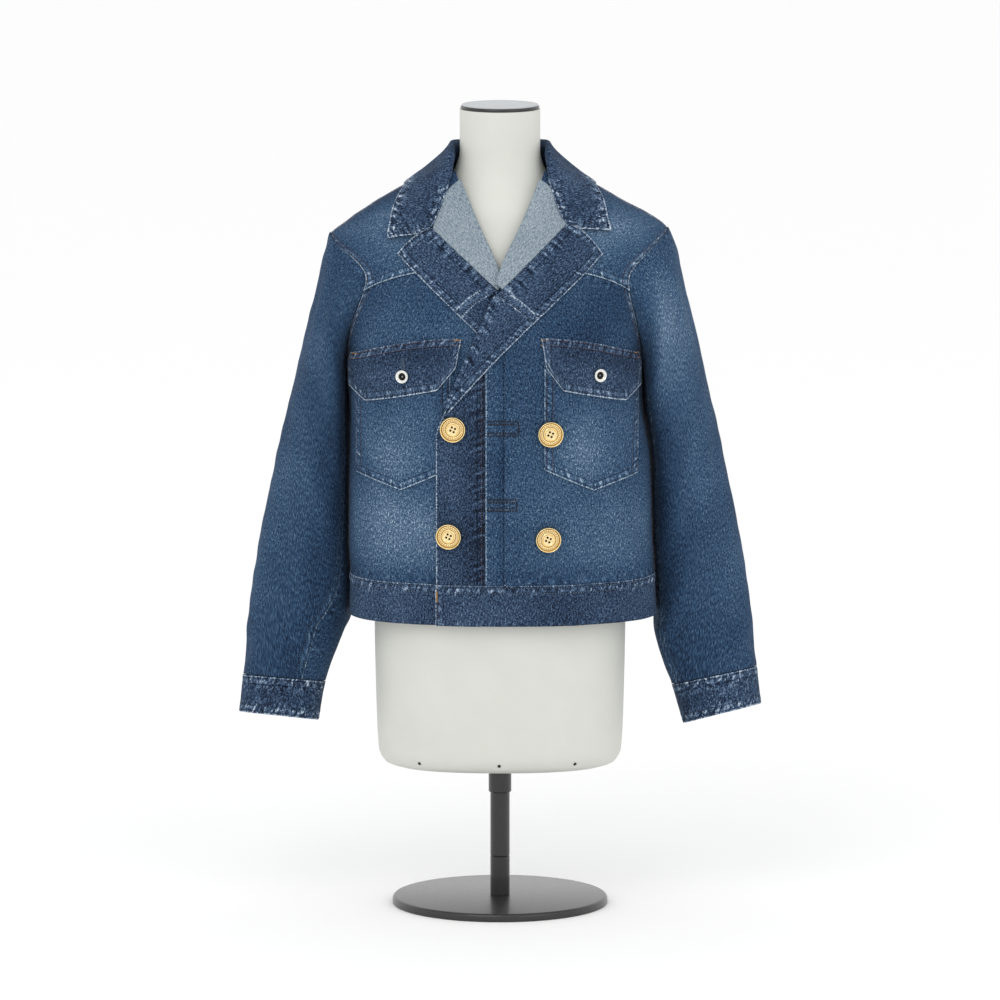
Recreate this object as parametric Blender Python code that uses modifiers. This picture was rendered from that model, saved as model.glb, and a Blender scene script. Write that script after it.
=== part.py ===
"""Cropped double-breasted denim jacket on a limbless dress form with a short stand.

Metres, +Z up. The garment faces -Y, so the wearer's left is +X. The origin is on the
floor, at the stand's axis. Every cloth piece is an open surface worked out from the
jacket's sections and given its wall by a Solidify modifier.
"""

from collections import namedtuple
from math import pi, radians

import bmesh
import bpy
import numpy as np
from mathutils import Vector

# ---------------------------------------------------------------- driving dimensions
SEAM = 0.0003  # space between neighbouring pieces
SINGLE = 0.0016  # wall of one layer of denim
DOUBLE = 0.0024  # wall of a lined band, flap, cuff or collar

HEM = 0.370
WAIST_SEAM = 0.4215
UNDERARM = 0.672
SHOULDER = 0.849
NECKLINE = 0.929

ARMHOLE_MIDDLE = (SHOULDER + UNDERARM) / 2
ARMHOLE_HALF = (SHOULDER - UNDERARM) / 2
ARMHOLE_REACH = 0.098  # how far the armhole is cut into front and back
ARMHOLE_TAPER = 0.7  # how much narrower it is at the underarm
ARMHOLE_STEPS = 12  # chords from the shoulder point to the underarm
YOKE_STEP = 5  # the yoke seam meets the armhole at this chord

YOKE_FRONT = 0.8115  # yoke seam at the centre front
YOKE_LEVEL = 0.64  # share of the front, from the armhole, where that seam has come level
YOKE_BACK = 0.800
YOKE_SIDE = ARMHOLE_MIDDLE + ARMHOLE_HALF * np.cos(pi * YOKE_STEP / ARMHOLE_STEPS)

BAND_OUT = 0.079  # front edge, measured past the centre front
BAND_IN = 0.018  # inner edge of the band, where the pleats start
PLEAT_IN = 0.005  # edge of the outer pleat, which is the left front's own edge
PLEAT_STEP = 0.0009  # each pleat lies this much above the last
PLEAT_TOP = 0.785
OVERLAP = 0.0052  # the left front lies this far outside the right one
OVERLAP_ENDS = (0.085, 0.125)  # where the left front comes down to the body
OVERLAP_TOP = (0.820, 0.880)

BREAK = 0.620  # height where the front edge starts to turn back
BAND_TOP = 0.735
LAPEL_RISE = 0.0026  # a lapel above the front that it lies on
LAPEL_RISE_TOP = 0.0098  # the left one where it crosses the overlap and the pleats

POCKET_RISE = 0.0027
FLAP_RISE = (0.0026, 0.0055)  # at its seam, and over the pocket

SHOULDER_LIFT = 0.0035  # the left shoulder's tip hangs this much higher, the right one lower
LIFT_HEIGHTS = (0.780, 0.860)
LIFT_WIDTHS = (0.150, 0.205)
GORGE_LIFT = 0.0032  # the same for the ends of the collar's seam
COLLAR_TIP_LIFT = 0.0043

SLEEVE_AROUND = 24
SLEEVE_SEAM_GAP = (0.0014, 0.0026)  # at the shoulder and at the underarm
GOLD_RADIUS = 0.0165
FLAP_BUTTON_RADIUS = 0.0085

BASE_RADIUS, BASE_THICK = 0.135, 0.010
TUBE_RADIUS, SOCKET_RADIUS = 0.0122, 0.0143
TUBE_TOP, FORM_BOTTOM = 0.141, 0.178
TUBE_JOINT = 0.060
NECK_RADIUS, NECK_TOP = 0.050, 1.003
CAP_THICK, PLATE_THICK = 0.0035, 0.0015

# ---------------------------------------------------------------- section tables
Section = namedtuple("Section", "height half_width front back shift square")
JACKET = [
    Section(0.370, 0.1910, 0.112, 0.108, 0.004, 2.4),
    Section(0.421, 0.1895, 0.113, 0.109, 0.003, 2.4),
    Section(0.465, 0.1890, 0.116, 0.111, 0.001, 2.4),
    Section(0.566, 0.1875, 0.121, 0.114, 0.000, 2.4),
    Section(0.641, 0.1835, 0.123, 0.117, -0.0055, 2.6),
    Section(0.672, 0.1830, 0.123, 0.118, -0.0065, 2.6),
    Section(0.724, 0.1860, 0.120, 0.118, -0.0075, 2.5),
    Section(0.760, 0.1910, 0.116, 0.116, -0.0060, 2.4),
    Section(0.800, 0.2000, 0.109, 0.112, -0.003, 2.25),
    Section(0.834, 0.2145, 0.101, 0.105, -0.0015, 2.15),
    Section(0.849, 0.2095, 0.097, 0.101, -0.001, 2.1),
    Section(0.868, 0.1850, 0.091, 0.095, 0.000, 2.05),
    Section(0.888, 0.1520, 0.084, 0.088, 0.000, 2.0),
    Section(0.907, 0.1190, 0.077, 0.080, 0.000, 2.0),
    Section(0.920, 0.0920, 0.070, 0.072, 0.000, 2.0),
    Section(0.929, 0.0730, 0.064, 0.067, 0.000, 2.0),
    Section(0.940, 0.0500, 0.056, 0.058, 0.000, 2.0),
]
FORM = [
    Section(0.178, 0.1300, 0.078, 0.074, 0.0, 2.3),
    Section(0.183, 0.1440, 0.090, 0.086, 0.0, 2.3),
    Section(0.198, 0.1520, 0.097, 0.093, 0.0, 2.3),
    Section(0.260, 0.1550, 0.100, 0.097, 0.0, 2.3),
    Section(0.374, 0.1570, 0.101, 0.100, 0.0, 2.3),
    Section(0.460, 0.1480, 0.094, 0.094, 0.0, 2.2),
    Section(0.560, 0.1240, 0.086, 0.082, 0.0, 2.2),
    Section(0.660, 0.1420, 0.101, 0.094, 0.0, 2.2),
    Section(0.740, 0.1560, 0.111, 0.101, 0.0, 2.2),
    Section(0.800, 0.1660, 0.101, 0.099, 0.0, 2.1),
    Section(0.836, 0.1680, 0.092, 0.091, 0.0, 2.0),
    Section(0.858, 0.1520, 0.084, 0.084, 0.0, 2.0),
    Section(0.880, 0.1220, 0.077, 0.077, 0.0, 2.0),
    Section(0.898, 0.0910, 0.068, 0.068, 0.0, 2.0),
    Section(0.912, 0.0690, 0.059, 0.059, 0.0, 2.0),
    Section(0.930, 0.0555, 0.053, 0.053, 0.0, 2.0),
    Section(0.950, NECK_RADIUS, NECK_RADIUS, NECK_RADIUS, 0.0, 2.0),
    Section(NECK_TOP, NECK_RADIUS, NECK_RADIUS, NECK_RADIUS, 0.0, 2.0),
]

# place runs down the sleeve; off_right and off_left are its inner edge's distance from the
# body's side, for the wearer's right and left sleeve
Ring = namedtuple("Ring", "place outer_x outer_z inner_z off_right off_left half_depth centre_y")
SLEEVE = [
    Ring(0.0, 0.2100, 0.8490, 0.6720, 0.0000, 0.0000, 0.098, 0.000),
    Ring(1.0, 0.2190, 0.8260, 0.6640, 0.0026, 0.0026, 0.089, 0.005),
    Ring(2.0, 0.2300, 0.7740, 0.6420, 0.0030, 0.0030, 0.082, 0.011),
    Ring(3.0, 0.2430, 0.7220, 0.6080, 0.0030, 0.0030, 0.077, 0.017),
    Ring(4.0, 0.2560, 0.6640, 0.5680, 0.0030, 0.0030, 0.073, 0.022),
    Ring(5.0, 0.2710, 0.6020, 0.5180, 0.0030, 0.0030, 0.068, 0.026),
    Ring(6.0, 0.2850, 0.5360, 0.4640, 0.0030, 0.0030, 0.065, 0.028),
    Ring(7.0, 0.3000, 0.4640, 0.4080, 0.0030, 0.0030, 0.061, 0.028),
    Ring(8.0, 0.3110, 0.3940, 0.3600, 0.0045, 0.0030, 0.056, 0.026),
    Ring(8.5, 0.3145, 0.3650, 0.3430, 0.0100, 0.0005, 0.053, 0.024),
    Ring(9.0, 0.3175, 0.3360, 0.3240, 0.0170, 0.0045, 0.050, 0.023),
    Ring(10.0, 0.3215, 0.2875, 0.2790, 0.0330, 0.0215, 0.043, 0.020),
    Ring(11.0, 0.3265, 0.2405, 0.2300, 0.0420, 0.0365, 0.041, 0.019),
]
CUFF_PLACE, SLEEVE_END = 10.0, 11.0
CUFF_OUTER_LIFT = {-1: 0.0, 1: 0.0100}  # each cuff's outer and inner side against the table
CUFF_INNER_LIFT = {-1: 0.0, 1: -0.0040}
CUFF_FRONT_LIFT = 0.0065  # the wrist hangs forward, so its front is higher than its back
UPPER_ARM_SHIFT = 0.0012  # both upper arms hang a little towards the wearer's left

# where the roll line crosses each height, measured from the centre towards the wearer's left
Roll = namedtuple("Roll", "height across")
ROLL_LINE = [
    Roll(0.612, -0.0790),
    Roll(0.620, -0.0765),
    Roll(0.650, -0.0638),
    Roll(0.700, -0.0410),
    Roll(0.750, -0.0188),
    Roll(0.780, -0.0068),
    Roll(0.815, 0.0035),
    Roll(0.870, 0.0290),
    Roll(0.9205, 0.0505),
    Roll(0.930, 0.0545),
]

# collar: seam, stand and outer edge, from the back centre (0) to the front end (1); belly is
# how far its fall bulges between fold and edge
Collar = namedtuple("Collar", "place seam_angle seam_z stand belly edge_angle edge_z rise")
COLLAR = [
    Collar(0.00, 180.0, 0.9315, 0.0260, 0.0040, 180.0, 0.8890, 0.0034),
    Collar(0.25, 138.0, 0.9315, 0.0270, 0.0040, 138.0, 0.8910, 0.0034),
    Collar(0.45, 104.0, 0.9315, 0.0290, -0.0045, 105.0, 0.9060, 0.0034),
    Collar(0.53, 89.0, 0.9315, 0.0290, -0.0110, 89.0, 0.9120, 0.0036),
    Collar(0.63, 67.0, 0.9320, 0.0210, -0.0080, 77.0, 0.9070, 0.0040),
    Collar(0.69, 54.0, 0.9310, 0.0120, -0.0020, 66.5, 0.8980, 0.0044),
    Collar(0.75, 42.5, 0.9260, 0.0040, 0.0, 56.5, 0.8865, 0.0048),
    Collar(0.88, 29.8, 0.8850, 0.0, 0.0, 46.7, 0.8680, 0.0050),
    Collar(0.94, 27.3, 0.8685, 0.0, 0.0, 44.0, 0.8600, 0.0050),
    Collar(1.00, 29.5, 0.8600, 0.0, 0.0, 41.5, 0.8534, 0.0050),
]

# soft folds: ridges have a positive depth, troughs a negative one
Fold = namedtuple("Fold", "along around slant length width depth")
BODY_FOLDS = [  # along is a height, around an angle from the centre front
    Fold(0.462, -62.0, 60.0, 0.030, 9.0, -0.0024),
    Fold(0.455, -30.0, -40.0, 0.028, 8.0, -0.0018),
    Fold(0.460, 36.0, 50.0, 0.030, 8.0, -0.0022),
    Fold(0.458, 66.0, -70.0, 0.030, 9.0, -0.0024),
    Fold(0.600, -92.0, 120.0, 0.045, 9.0, -0.0024),
    Fold(0.590, 92.0, -120.0, 0.050, 9.0, -0.0022),
    Fold(0.690, 150.0, 60.0, 0.080, 10.0, -0.0030),
    Fold(0.700, 207.0, -60.0, 0.085, 10.0, -0.0028),
    Fold(0.520, 166.0, 20.0, 0.080, 10.0, -0.0026),
    Fold(0.500, 196.0, -30.0, 0.070, 10.0, -0.0026),
    Fold(0.560, 124.0, 80.0, 0.070, 10.0, -0.0024),
    Fold(0.560, 238.0, -80.0, 0.070, 10.0, -0.0024),
]
SLEEVE_FOLDS = [  # along is a place down the sleeve, around an angle from its outer edge
    Fold(1.7, 52.0, 6.0, 1.3, 11.0, -0.0032),
    Fold(2.7, 84.0, 5.0, 1.2, 11.0, -0.0026),
    Fold(2.2, 22.0, 2.0, 1.1, 9.0, -0.0022),
    Fold(4.6, 108.0, -12.0, 1.0, 13.0, -0.0034),
    Fold(5.6, 42.0, 14.0, 0.9, 12.0, -0.0026),
    Fold(7.2, 74.0, -16.0, 0.8, 12.0, -0.0034),
    Fold(8.5, 122.0, 12.0, 0.7, 13.0, -0.0034),
    Fold(9.3, 14.0, -10.0, 0.35, 14.0, -0.0042),
    Fold(2.1, -58.0, -6.0, 1.3, 12.0, -0.0032),
    Fold(4.8, -92.0, 12.0, 1.0, 13.0, -0.0034),
    Fold(6.9, -48.0, -14.0, 0.8, 12.0, -0.0030),
    Fold(8.7, -104.0, 10.0, 0.7, 13.0, -0.0036),
]

# each side's own span on the front, from the inner to the outer edge
Span = namedtuple("Span", "inner outer")
FLAP_SPAN = {1: Span(0.0500, 0.1700), -1: Span(-0.0475, -0.1835)}
POCKET_SPAN = {1: Span(0.0540, 0.1690), -1: Span(-0.0610, -0.1760)}
# share: where along the span; the outline's height there
Corner = namedtuple("Corner", "share height")
FLAP_FOOT = [
    Corner(0.05, 0.694),
    Corner(0.22, 0.666),
    Corner(0.85, 0.6485),
    Corner(1.00, 0.665),
]
POCKET_FOOT = [Corner(0.00, 0.5675), Corner(0.53, 0.539), Corner(1.00, 0.556)]
FLAP_TOP, FLAP_SLOPE = 0.7305, 0.0255
POCKET_BELOW_SEAM = 0.016

GOLD_BUTTONS = {
    "front_button_upper_right": (-0.0575, 0.6185),
    "front_button_upper_left": (0.0610, 0.6125),
    "front_button_lower_right": (-0.0625, 0.4840),
    "front_button_lower_left": (0.0588, 0.4800),
}
FLAP_BUTTONS = {-1: (-0.1178, 0.6825), 1: (0.1196, 0.6830)}

# ---------------------------------------------------------------- finishes
Finish = namedtuple("Finish", "colour roughness metallic")
DENIM = Finish((0.075, 0.130, 0.225), 0.85, 0.0)
DARK_DENIM = Finish((0.040, 0.072, 0.135), 0.85, 0.0)
REVERSE_DENIM = Finish((0.400, 0.450, 0.490), 0.90, 0.0)
GOLD = Finish((0.800, 0.560, 0.220), 0.28, 1.0)
SILVER = Finish((0.800, 0.800, 0.780), 0.30, 1.0)
LINEN = Finish((0.740, 0.740, 0.700), 0.70, 0.0)
BLACK = Finish((0.012, 0.012, 0.012), 0.40, 0.0)
GREY = Finish((0.460, 0.470, 0.480), 0.45, 0.0)


# ---------------------------------------------------------------- small mathematics
def signed_power(value, power):
    return np.sign(value) * np.abs(value) ** power


def smooth_step(low, high, value):
    share = np.clip((value - low) / (high - low), 0.0, 1.0)
    return share * share * (3.0 - 2.0 * share)


def column(table, name, at):
    """A column of a table at any value of the first one, on a curve that never overshoots."""
    known = np.array([row[0] for row in table])
    values = np.array([getattr(row, name) for row in table])
    step = np.diff(known)
    slope = np.diff(values) / step
    product = slope[:-1] * slope[1:]
    total = np.where(product > 0, slope[:-1] + slope[1:], 1.0)
    inner = np.where(product > 0, 2.0 * product / total, 0.0)
    tangent = np.concatenate([[slope[0]], inner, [slope[-1]]])
    at = np.clip(at, known[0], known[-1])
    k = np.clip(np.searchsorted(known, at, side="right") - 1, 0, len(step) - 1)
    h = step[k]
    s = (at - known[k]) / h
    return (
        values[k] * (1 + 2 * s) * (1 - s) ** 2
        + tangent[k] * h * s * (1 - s) ** 2
        + values[k + 1] * s * s * (3 - 2 * s)
        - tangent[k + 1] * h * s * s * (1 - s)
    )


def fold_depth(folds, along, around):
    """The sum of the table's soft ridges and troughs at a place."""
    depth = 0.0
    for fold in folds:
        slanted = fold.around + fold.slant * (along - fold.along)
        beside = (around - slanted + 180.0) % 360.0 - 180.0
        bump = np.exp(-((beside / fold.width) ** 2))
        depth = depth + fold.depth * bump * np.exp(-(((along - fold.along) / fold.length) ** 2))
    return depth


# ---------------------------------------------------------------- the body's surface
def section_point(table, angle, height):
    """A point and the outward normal of a stack of superellipses; angle 0 is the centre front."""
    width = column(table, "half_width", height)
    shift = column(table, "shift", height)
    square = column(table, "square", height)
    facing = np.cos(angle) > 0
    depth = np.where(facing, column(table, "front", height), column(table, "back", height))
    x = width * signed_power(np.sin(angle), 2.0 / square)
    y = -depth * signed_power(np.cos(angle), 2.0 / square)
    small = 0.002
    wider = (column(table, "half_width", height + small) - width) / small
    moved = (column(table, "shift", height + small) - shift) / small
    deep = np.where(
        facing,
        column(table, "front", height + small),
        column(table, "back", height + small),
    )
    deeper = (deep - depth) / small
    share_x, share_y = np.abs(x) / width, np.abs(y) / depth
    normal_x = signed_power(x / width, square - 1.0) / width
    normal_y = signed_power(y / depth, square - 1.0) / depth
    normal_z = (
        -(share_x**square) * wider / width - share_y**square * deeper / depth - moved * normal_x
    )
    point = np.stack([x + shift, y, height + 0.0 * x], axis=-1)
    normal = np.stack([normal_x, normal_y, normal_z], axis=-1)
    return point, normal / np.linalg.norm(normal, axis=-1, keepdims=True)


def body(angle, height, rise=0.0):
    """The jacket's body at an angle round it and a height, rise outside its middle surface."""
    angle, height = np.broadcast_arrays(np.asarray(angle, float), np.asarray(height, float))
    point, normal = section_point(JACKET, angle, height)
    out = rise + fold_depth(BODY_FOLDS, height, np.degrees(angle))
    return point + normal * np.expand_dims(np.broadcast_to(out, angle.shape), -1)


def angle_at(x, height):
    """The angle round the front where the body's surface is at x."""
    share = (x - column(JACKET, "shift", height)) / column(JACKET, "half_width", height)
    share = np.clip(share, -0.9999, 0.9999)
    return np.arcsin(signed_power(share, column(JACKET, "square", height) / 2.0))


def side_of_body(side, y, height):
    """How far from the middle plane the body's side is, at a depth y."""
    height = np.maximum(height, HEM)
    depth = np.where(y < 0, column(JACKET, "front", height), column(JACKET, "back", height))
    square = column(JACKET, "square", height)
    inner = np.clip(1.0 - (np.abs(y) / depth) ** square, 0.0, 1.0) ** (1.0 / square)
    return column(JACKET, "half_width", height) * inner + side * column(JACKET, "shift", height)


def armhole_depth(turn):
    """Half the armhole's width at a turn from the shoulder point, 0, to the underarm, pi."""
    taper = 1.0 - ARMHOLE_TAPER * (1.0 - np.cos(turn)) / 2.0
    return ARMHOLE_REACH * np.abs(np.sin(turn)) ** 1.1 * taper


def armhole_angle(height, facing_back):
    """The angle round the body at the armhole, or at the side where there is none."""
    turn = np.arccos(np.clip((height - ARMHOLE_MIDDLE) / ARMHOLE_HALF, -1.0, 1.0))
    name = "back" if facing_back else "front"
    share = armhole_depth(turn) / column(JACKET, name, height)
    angle = np.arccos(share ** (column(JACKET, "square", height) / 2.0))
    return pi - angle if facing_back else angle


def yoke_front(share):
    """The front yoke seam's height at a share of the front's width, from the armhole."""
    beyond = np.clip(1.0 - share / YOKE_LEVEL, 0.0, 1.0)
    return YOKE_FRONT + (YOKE_SIDE - YOKE_FRONT) * beyond**1.5


def yoke_back(share):
    """The back yoke seam's height at a share of the back's width, from the left armhole."""
    return YOKE_BACK + (YOKE_SIDE - YOKE_BACK) * np.abs(2.0 * share - 1.0) ** 2.5


def overlap_rise(x, height):
    """How far the left front stands outside the right one."""
    across = 1.0 - smooth_step(*OVERLAP_ENDS, x)
    return OVERLAP * across * (1.0 - smooth_step(*OVERLAP_TOP, height))


def roll_x(height):
    return column(ROLL_LINE, "across", height)


# ---------------------------------------------------------------- objects
def clear_scene():
    for old in list(bpy.data.objects):
        bpy.data.objects.remove(old, do_unlink=True)


def new_collection(name):
    made = bpy.data.collections.new(name)
    bpy.context.scene.collection.children.link(made)
    return made


def dress(obj, finish):
    material = bpy.data.materials.new(obj.name + "_finish")
    material.use_nodes = True
    shader = material.node_tree.nodes["Principled BSDF"]
    shader.inputs["Base Color"].default_value = (*finish.colour, 1.0)
    shader.inputs["Roughness"].default_value = finish.roughness
    shader.inputs["Metallic"].default_value = finish.metallic
    material.diffuse_color = (*finish.colour, 1.0)
    obj.data.materials.clear()
    obj.data.materials.append(material)


def place(collection, name, mesh, finish):
    obj = bpy.data.objects.new(name, mesh)
    collection.objects.link(obj)
    dress(obj, finish)
    return obj


def lift_shoulder(points):
    """The garment hangs a little higher at the wearer's left shoulder."""
    x, height = points[..., 0], points[..., 2]
    amount = smooth_step(*LIFT_HEIGHTS, height) * smooth_step(*LIFT_WIDTHS, np.abs(x))
    lifted = points.copy()
    lifted[..., 2] += SHOULDER_LIFT * np.sign(x) * amount
    return lifted


def grid_mesh(name, points, closed=False):
    """A mesh of quads through rows of points, its last column joined to the first if closed."""
    rows, cols = points.shape[:2]
    index = np.arange(rows * cols).reshape(rows, cols)
    if closed:
        index = np.concatenate([index, index[:, :1]], axis=1)
    quads = np.stack([index[:-1, :-1], index[:-1, 1:], index[1:, 1:], index[1:, :-1]], axis=-1)
    mesh = bpy.data.meshes.new(name)
    mesh.from_pydata(points.reshape(-1, 3).tolist(), [], quads.reshape(-1, 4).tolist())
    mesh.update()
    mesh.shade_smooth()
    return mesh


def cloth(collection, name, points, wall, finish, closed=False):
    """A piece of cloth: an open surface whose wall lies half on each side of it."""
    obj = place(collection, name, grid_mesh(name, lift_shoulder(points), closed), finish)
    walls = obj.modifiers.new("Wall", "SOLIDIFY")
    walls.thickness = wall
    walls.offset = 0.0
    walls.use_even_offset = True
    walls.use_quality_normals = True
    obj.data.set_sharp_from_angle(angle=radians(40))
    return obj


def turned(collection, name, profile, finish, steps=32):
    """A turned piece about its own Z, from a profile of (radius, height), top to bottom."""
    mesh = bpy.data.meshes.new(name)
    points = [(radius, 0.0, height) for radius, height in profile]
    mesh.from_pydata(points, [(i, i + 1) for i in range(len(points) - 1)], [])
    obj = place(collection, name, mesh, finish)
    screw = obj.modifiers.new("Turn", "SCREW")
    screw.axis = "Z"
    screw.steps = steps
    screw.render_steps = steps
    screw.use_merge_vertices = True
    screw.merge_threshold = 0.00005
    screw.use_smooth_shade = True
    return obj


# ---------------------------------------------------------------- fronts and back
def armhole_heights(steps):
    return ARMHOLE_MIDDLE + ARMHOLE_HALF * np.cos(pi * np.array(steps) / ARMHOLE_STEPS)


EDGE_GAP = SEAM / 2 / 0.10  # half a seam as an angle round the body
PANEL_LOW = WAIST_SEAM + SEAM
PANEL_HEIGHTS = np.concatenate(
    [
        [PANEL_LOW, 0.440, 0.458, 0.478, 0.505, 0.540, 0.580, 0.628],
        armhole_heights(range(ARMHOLE_STEPS, YOKE_STEP - 1, -1)),
    ]
)
YOKE_HEIGHTS = np.concatenate(
    [armhole_heights(range(YOKE_STEP, -1, -1)), [0.860, 0.874, 0.891, 0.910, NECKLINE]]
)


def panel_grid(edge_heights, edge_angles, cols, low, top, near_edge):
    """Shares across and heights of a panel's grid. At the armhole its rows stand at
    edge_heights; away from it they are spaced as far apart as they are along that edge."""
    edge = body(edge_angles, edge_heights)
    run = np.cumsum(np.linalg.norm(np.diff(edge, axis=0), axis=1))
    inner = np.concatenate([[0.0], run / run[-1]])[:, None]
    outer = (edge_heights - edge_heights[0]) / (edge_heights[-1] - edge_heights[0])
    share = inner + (outer[:, None] - inner) * near_edge(cols)
    return low(cols) + (top(cols) - low(cols)) * share


def level(height):
    """An edge that has the same height at every share of a panel's width."""
    return lambda share: height + 0.0 * share


def front_edge(side, height):
    """x of a front's inner edge, towards its own side: the roll line, and below it the seam."""
    roll = roll_x(height)
    if side > 0:
        turned_in = smooth_step(PLEAT_TOP, YOKE_FRONT, height)
        seam = PLEAT_IN + (roll - PLEAT_IN) * turned_in
        return np.maximum(seam + SEAM, roll + 3 * SEAM)
    return np.maximum(-BAND_IN + SEAM, roll + 3 * SEAM)


def front_piece(side, edge_heights, count, low, top):
    """Angles and heights of one front between its armhole and its inner edge."""
    cols = np.linspace(0.0, 1.0, count)[None, :: -side]
    outer = armhole_angle(edge_heights, False) - EDGE_GAP

    def near_edge(share):
        return (1.0 - share) ** 2

    height = panel_grid(edge_heights, side * outer, cols, low, top, near_edge)
    innermost = height[:, cols[0].argmax()]
    inner = angle_at(side * front_edge(side, innermost), innermost)
    angle = side * outer[:, None] * (1.0 - cols) + inner[:, None] * cols
    return angle, height


def front_pieces(collection, side):
    """One front below its yoke, and the yoke. side 1 is the wearer's left, which lies outside."""
    word = "left" if side > 0 else "right"

    def seam(share):
        return yoke_front(share) - SEAM / 2

    def yoke_foot(share):
        return yoke_front(share) + SEAM / 2

    def layered(angle, height):
        if side < 0:
            return body(angle, height)
        x = body(angle, height)[..., 0]
        pleated = 1.0 - smooth_step(0.012, 0.045, x)
        pleated = pleated * (1.0 - smooth_step(YOKE_FRONT, 0.840, height))
        return body(angle, height, overlap_rise(x, height) + 2 * PLEAT_STEP * pleated)

    grid = front_piece(side, PANEL_HEIGHTS, 13, level(PANEL_LOW), seam)
    cloth(collection, f"front_panel_{word}", layered(*grid), SINGLE, DENIM)
    grid = front_piece(side, YOKE_HEIGHTS, 10, yoke_foot, level(NECKLINE))
    cloth(collection, f"front_yoke_{word}", layered(*grid), SINGLE, DENIM)


def back_pieces(collection):
    cols = np.linspace(0.0, 1.0, 21)[None, :]

    def near_edge(share):
        return (2.0 * share - 1.0) ** 4

    def points(edge_heights, low, top):
        edge = armhole_angle(edge_heights, True) + EDGE_GAP
        height = panel_grid(edge_heights, edge, cols, low, top, near_edge)
        edge = edge[:, None]
        return body(edge * (1.0 - cols) + (2 * pi - edge) * cols, height)

    def seam(share):
        return yoke_back(share) - SEAM / 2

    def yoke_foot(share):
        return yoke_back(share) + SEAM / 2

    made = points(PANEL_HEIGHTS, level(PANEL_LOW), seam)
    cloth(collection, "back_panel", made, SINGLE, DENIM)
    made = points(YOKE_HEIGHTS, yoke_foot, level(NECKLINE))
    cloth(collection, "back_yoke", made, SINGLE, DENIM)


def front_strips(collection):
    """The two front bands and the pleat strip beside the left one."""
    heights = np.linspace(PANEL_LOW, BAND_TOP, 14)[:, None]
    share = np.linspace(0.0, 1.0, 5)[None, :]
    for side, word in ((1, "left"), (-1, "right")):
        outer = np.maximum(-BAND_OUT + SEAM, roll_x(heights) + 3 * SEAM)
        x = side * (outer + (-BAND_IN - outer) * share)[:, ::side]
        rise = overlap_rise(x, heights) if side > 0 else 0.0
        points = body(angle_at(x, heights), heights, rise)
        cloth(collection, f"front_band_{word}", points, SINGLE, DARK_DENIM)
    heights = np.linspace(PANEL_LOW, PLEAT_TOP, 14)[:, None]
    outer = np.maximum(-BAND_IN + SEAM, roll_x(heights) + 3 * SEAM)
    x = outer + (PLEAT_IN - outer) * np.linspace(0.0, 1.0, 3)[None, :]
    rise = overlap_rise(x, heights) + PLEAT_STEP
    cloth(collection, "pleat_left", body(angle_at(x, heights), heights, rise), SINGLE, DENIM)


def waistband(collection):
    """One strip from the left front's edge round the back to the right front's edge."""
    start = float(angle_at(-BAND_OUT, HEM))
    end = 2 * pi + float(angle_at(BAND_OUT, HEM))
    angle = np.linspace(start, end, 55)[None, :]
    height = np.linspace(HEM, WAIST_SEAM, 3)[:, None]
    angle, height = np.broadcast_arrays(angle, height)
    x = body(angle, height)[..., 0]
    rise = np.where(angle < pi / 2, overlap_rise(x, height), 0.0)
    cloth(collection, "waistband", body(angle, height, rise), DOUBLE, DARK_DENIM)


# ---------------------------------------------------------------- lapels
ROLL_TOP = np.array([0.0505, 0.9205])  # roll line at the collar's seam
LAPEL_CORNER = np.array([0.0840, 0.8660])  # the band's seam at the collar's seam
LAPEL_TIP = np.array([0.1265, 0.8315])
LAPEL_TOP_BOW = 0.0055  # the band's top edge bows up by this much between those two
BAND_MEETS_ROLL = np.array([-0.0068, 0.7800])
OUTER_BOW = 0.007  # the lapel's outer edge bows out by this much
BAND_SEWN = 0.46  # share of the band's length that is sewn to the lapel


def on_front(x, height, side, rise):
    """Points of one front in front elevation; x is measured towards the wearer's left."""
    return body(angle_at(side * x, height), height, rise)


def lapel_rise(x, height, side):
    if side < 0:
        return LAPEL_RISE + 0.0 * x
    share = overlap_rise(x, height) / OVERLAP
    return LAPEL_RISE + (LAPEL_RISE_TOP - LAPEL_RISE) * share


def turned_back(side, inner, outer, folded, bow=0.0):
    """A strip between two lines of (x, z) in front elevation, each with one row a place. Where
    a row is folded, its inner end curls round to meet the front that it is turned back from."""
    flat_shares = np.linspace(0.0, 1.0, 5)[None, :]
    sewn_shares = np.concatenate([[0.0, 0.05], 0.10 + 0.90 * flat_shares[0]])[None, :]
    (inner_x, inner_z), (outer_x, outer_z) = inner, outer
    sewn_x = inner_x + (outer_x - inner_x) * sewn_shares
    sewn_z = inner_z + (outer_z - inner_z) * sewn_shares
    sewn_z = sewn_z + bow * 4.0 * sewn_shares * (1.0 - sewn_shares)
    base = overlap_rise(inner_x, inner_z) if side > 0 else 0.0 * inner_x
    top = lapel_rise(inner_x, inner_z, side)
    radius = (top - base) / 2
    meeting = inner_x - 0.0010
    flat_x = inner_x + (outer_x - inner_x) * flat_shares
    flat_z = inner_z + (outer_z - inner_z) * flat_shares
    curled_x = np.concatenate([meeting, meeting - radius, flat_x], axis=1)
    curled_z = np.concatenate([inner_z, inner_z, flat_z], axis=1)
    flat_rise = lapel_rise(flat_x, flat_z, side)
    curled_rise = np.concatenate([base, base + radius, flat_rise], axis=1)
    x = np.where(folded, curled_x, sewn_x)
    z = np.where(folded, curled_z, sewn_z)
    rise = np.where(folded, curled_rise, lapel_rise(sewn_x, sewn_z, side))
    return on_front(x, z, side, rise)[:, ::side]


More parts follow.
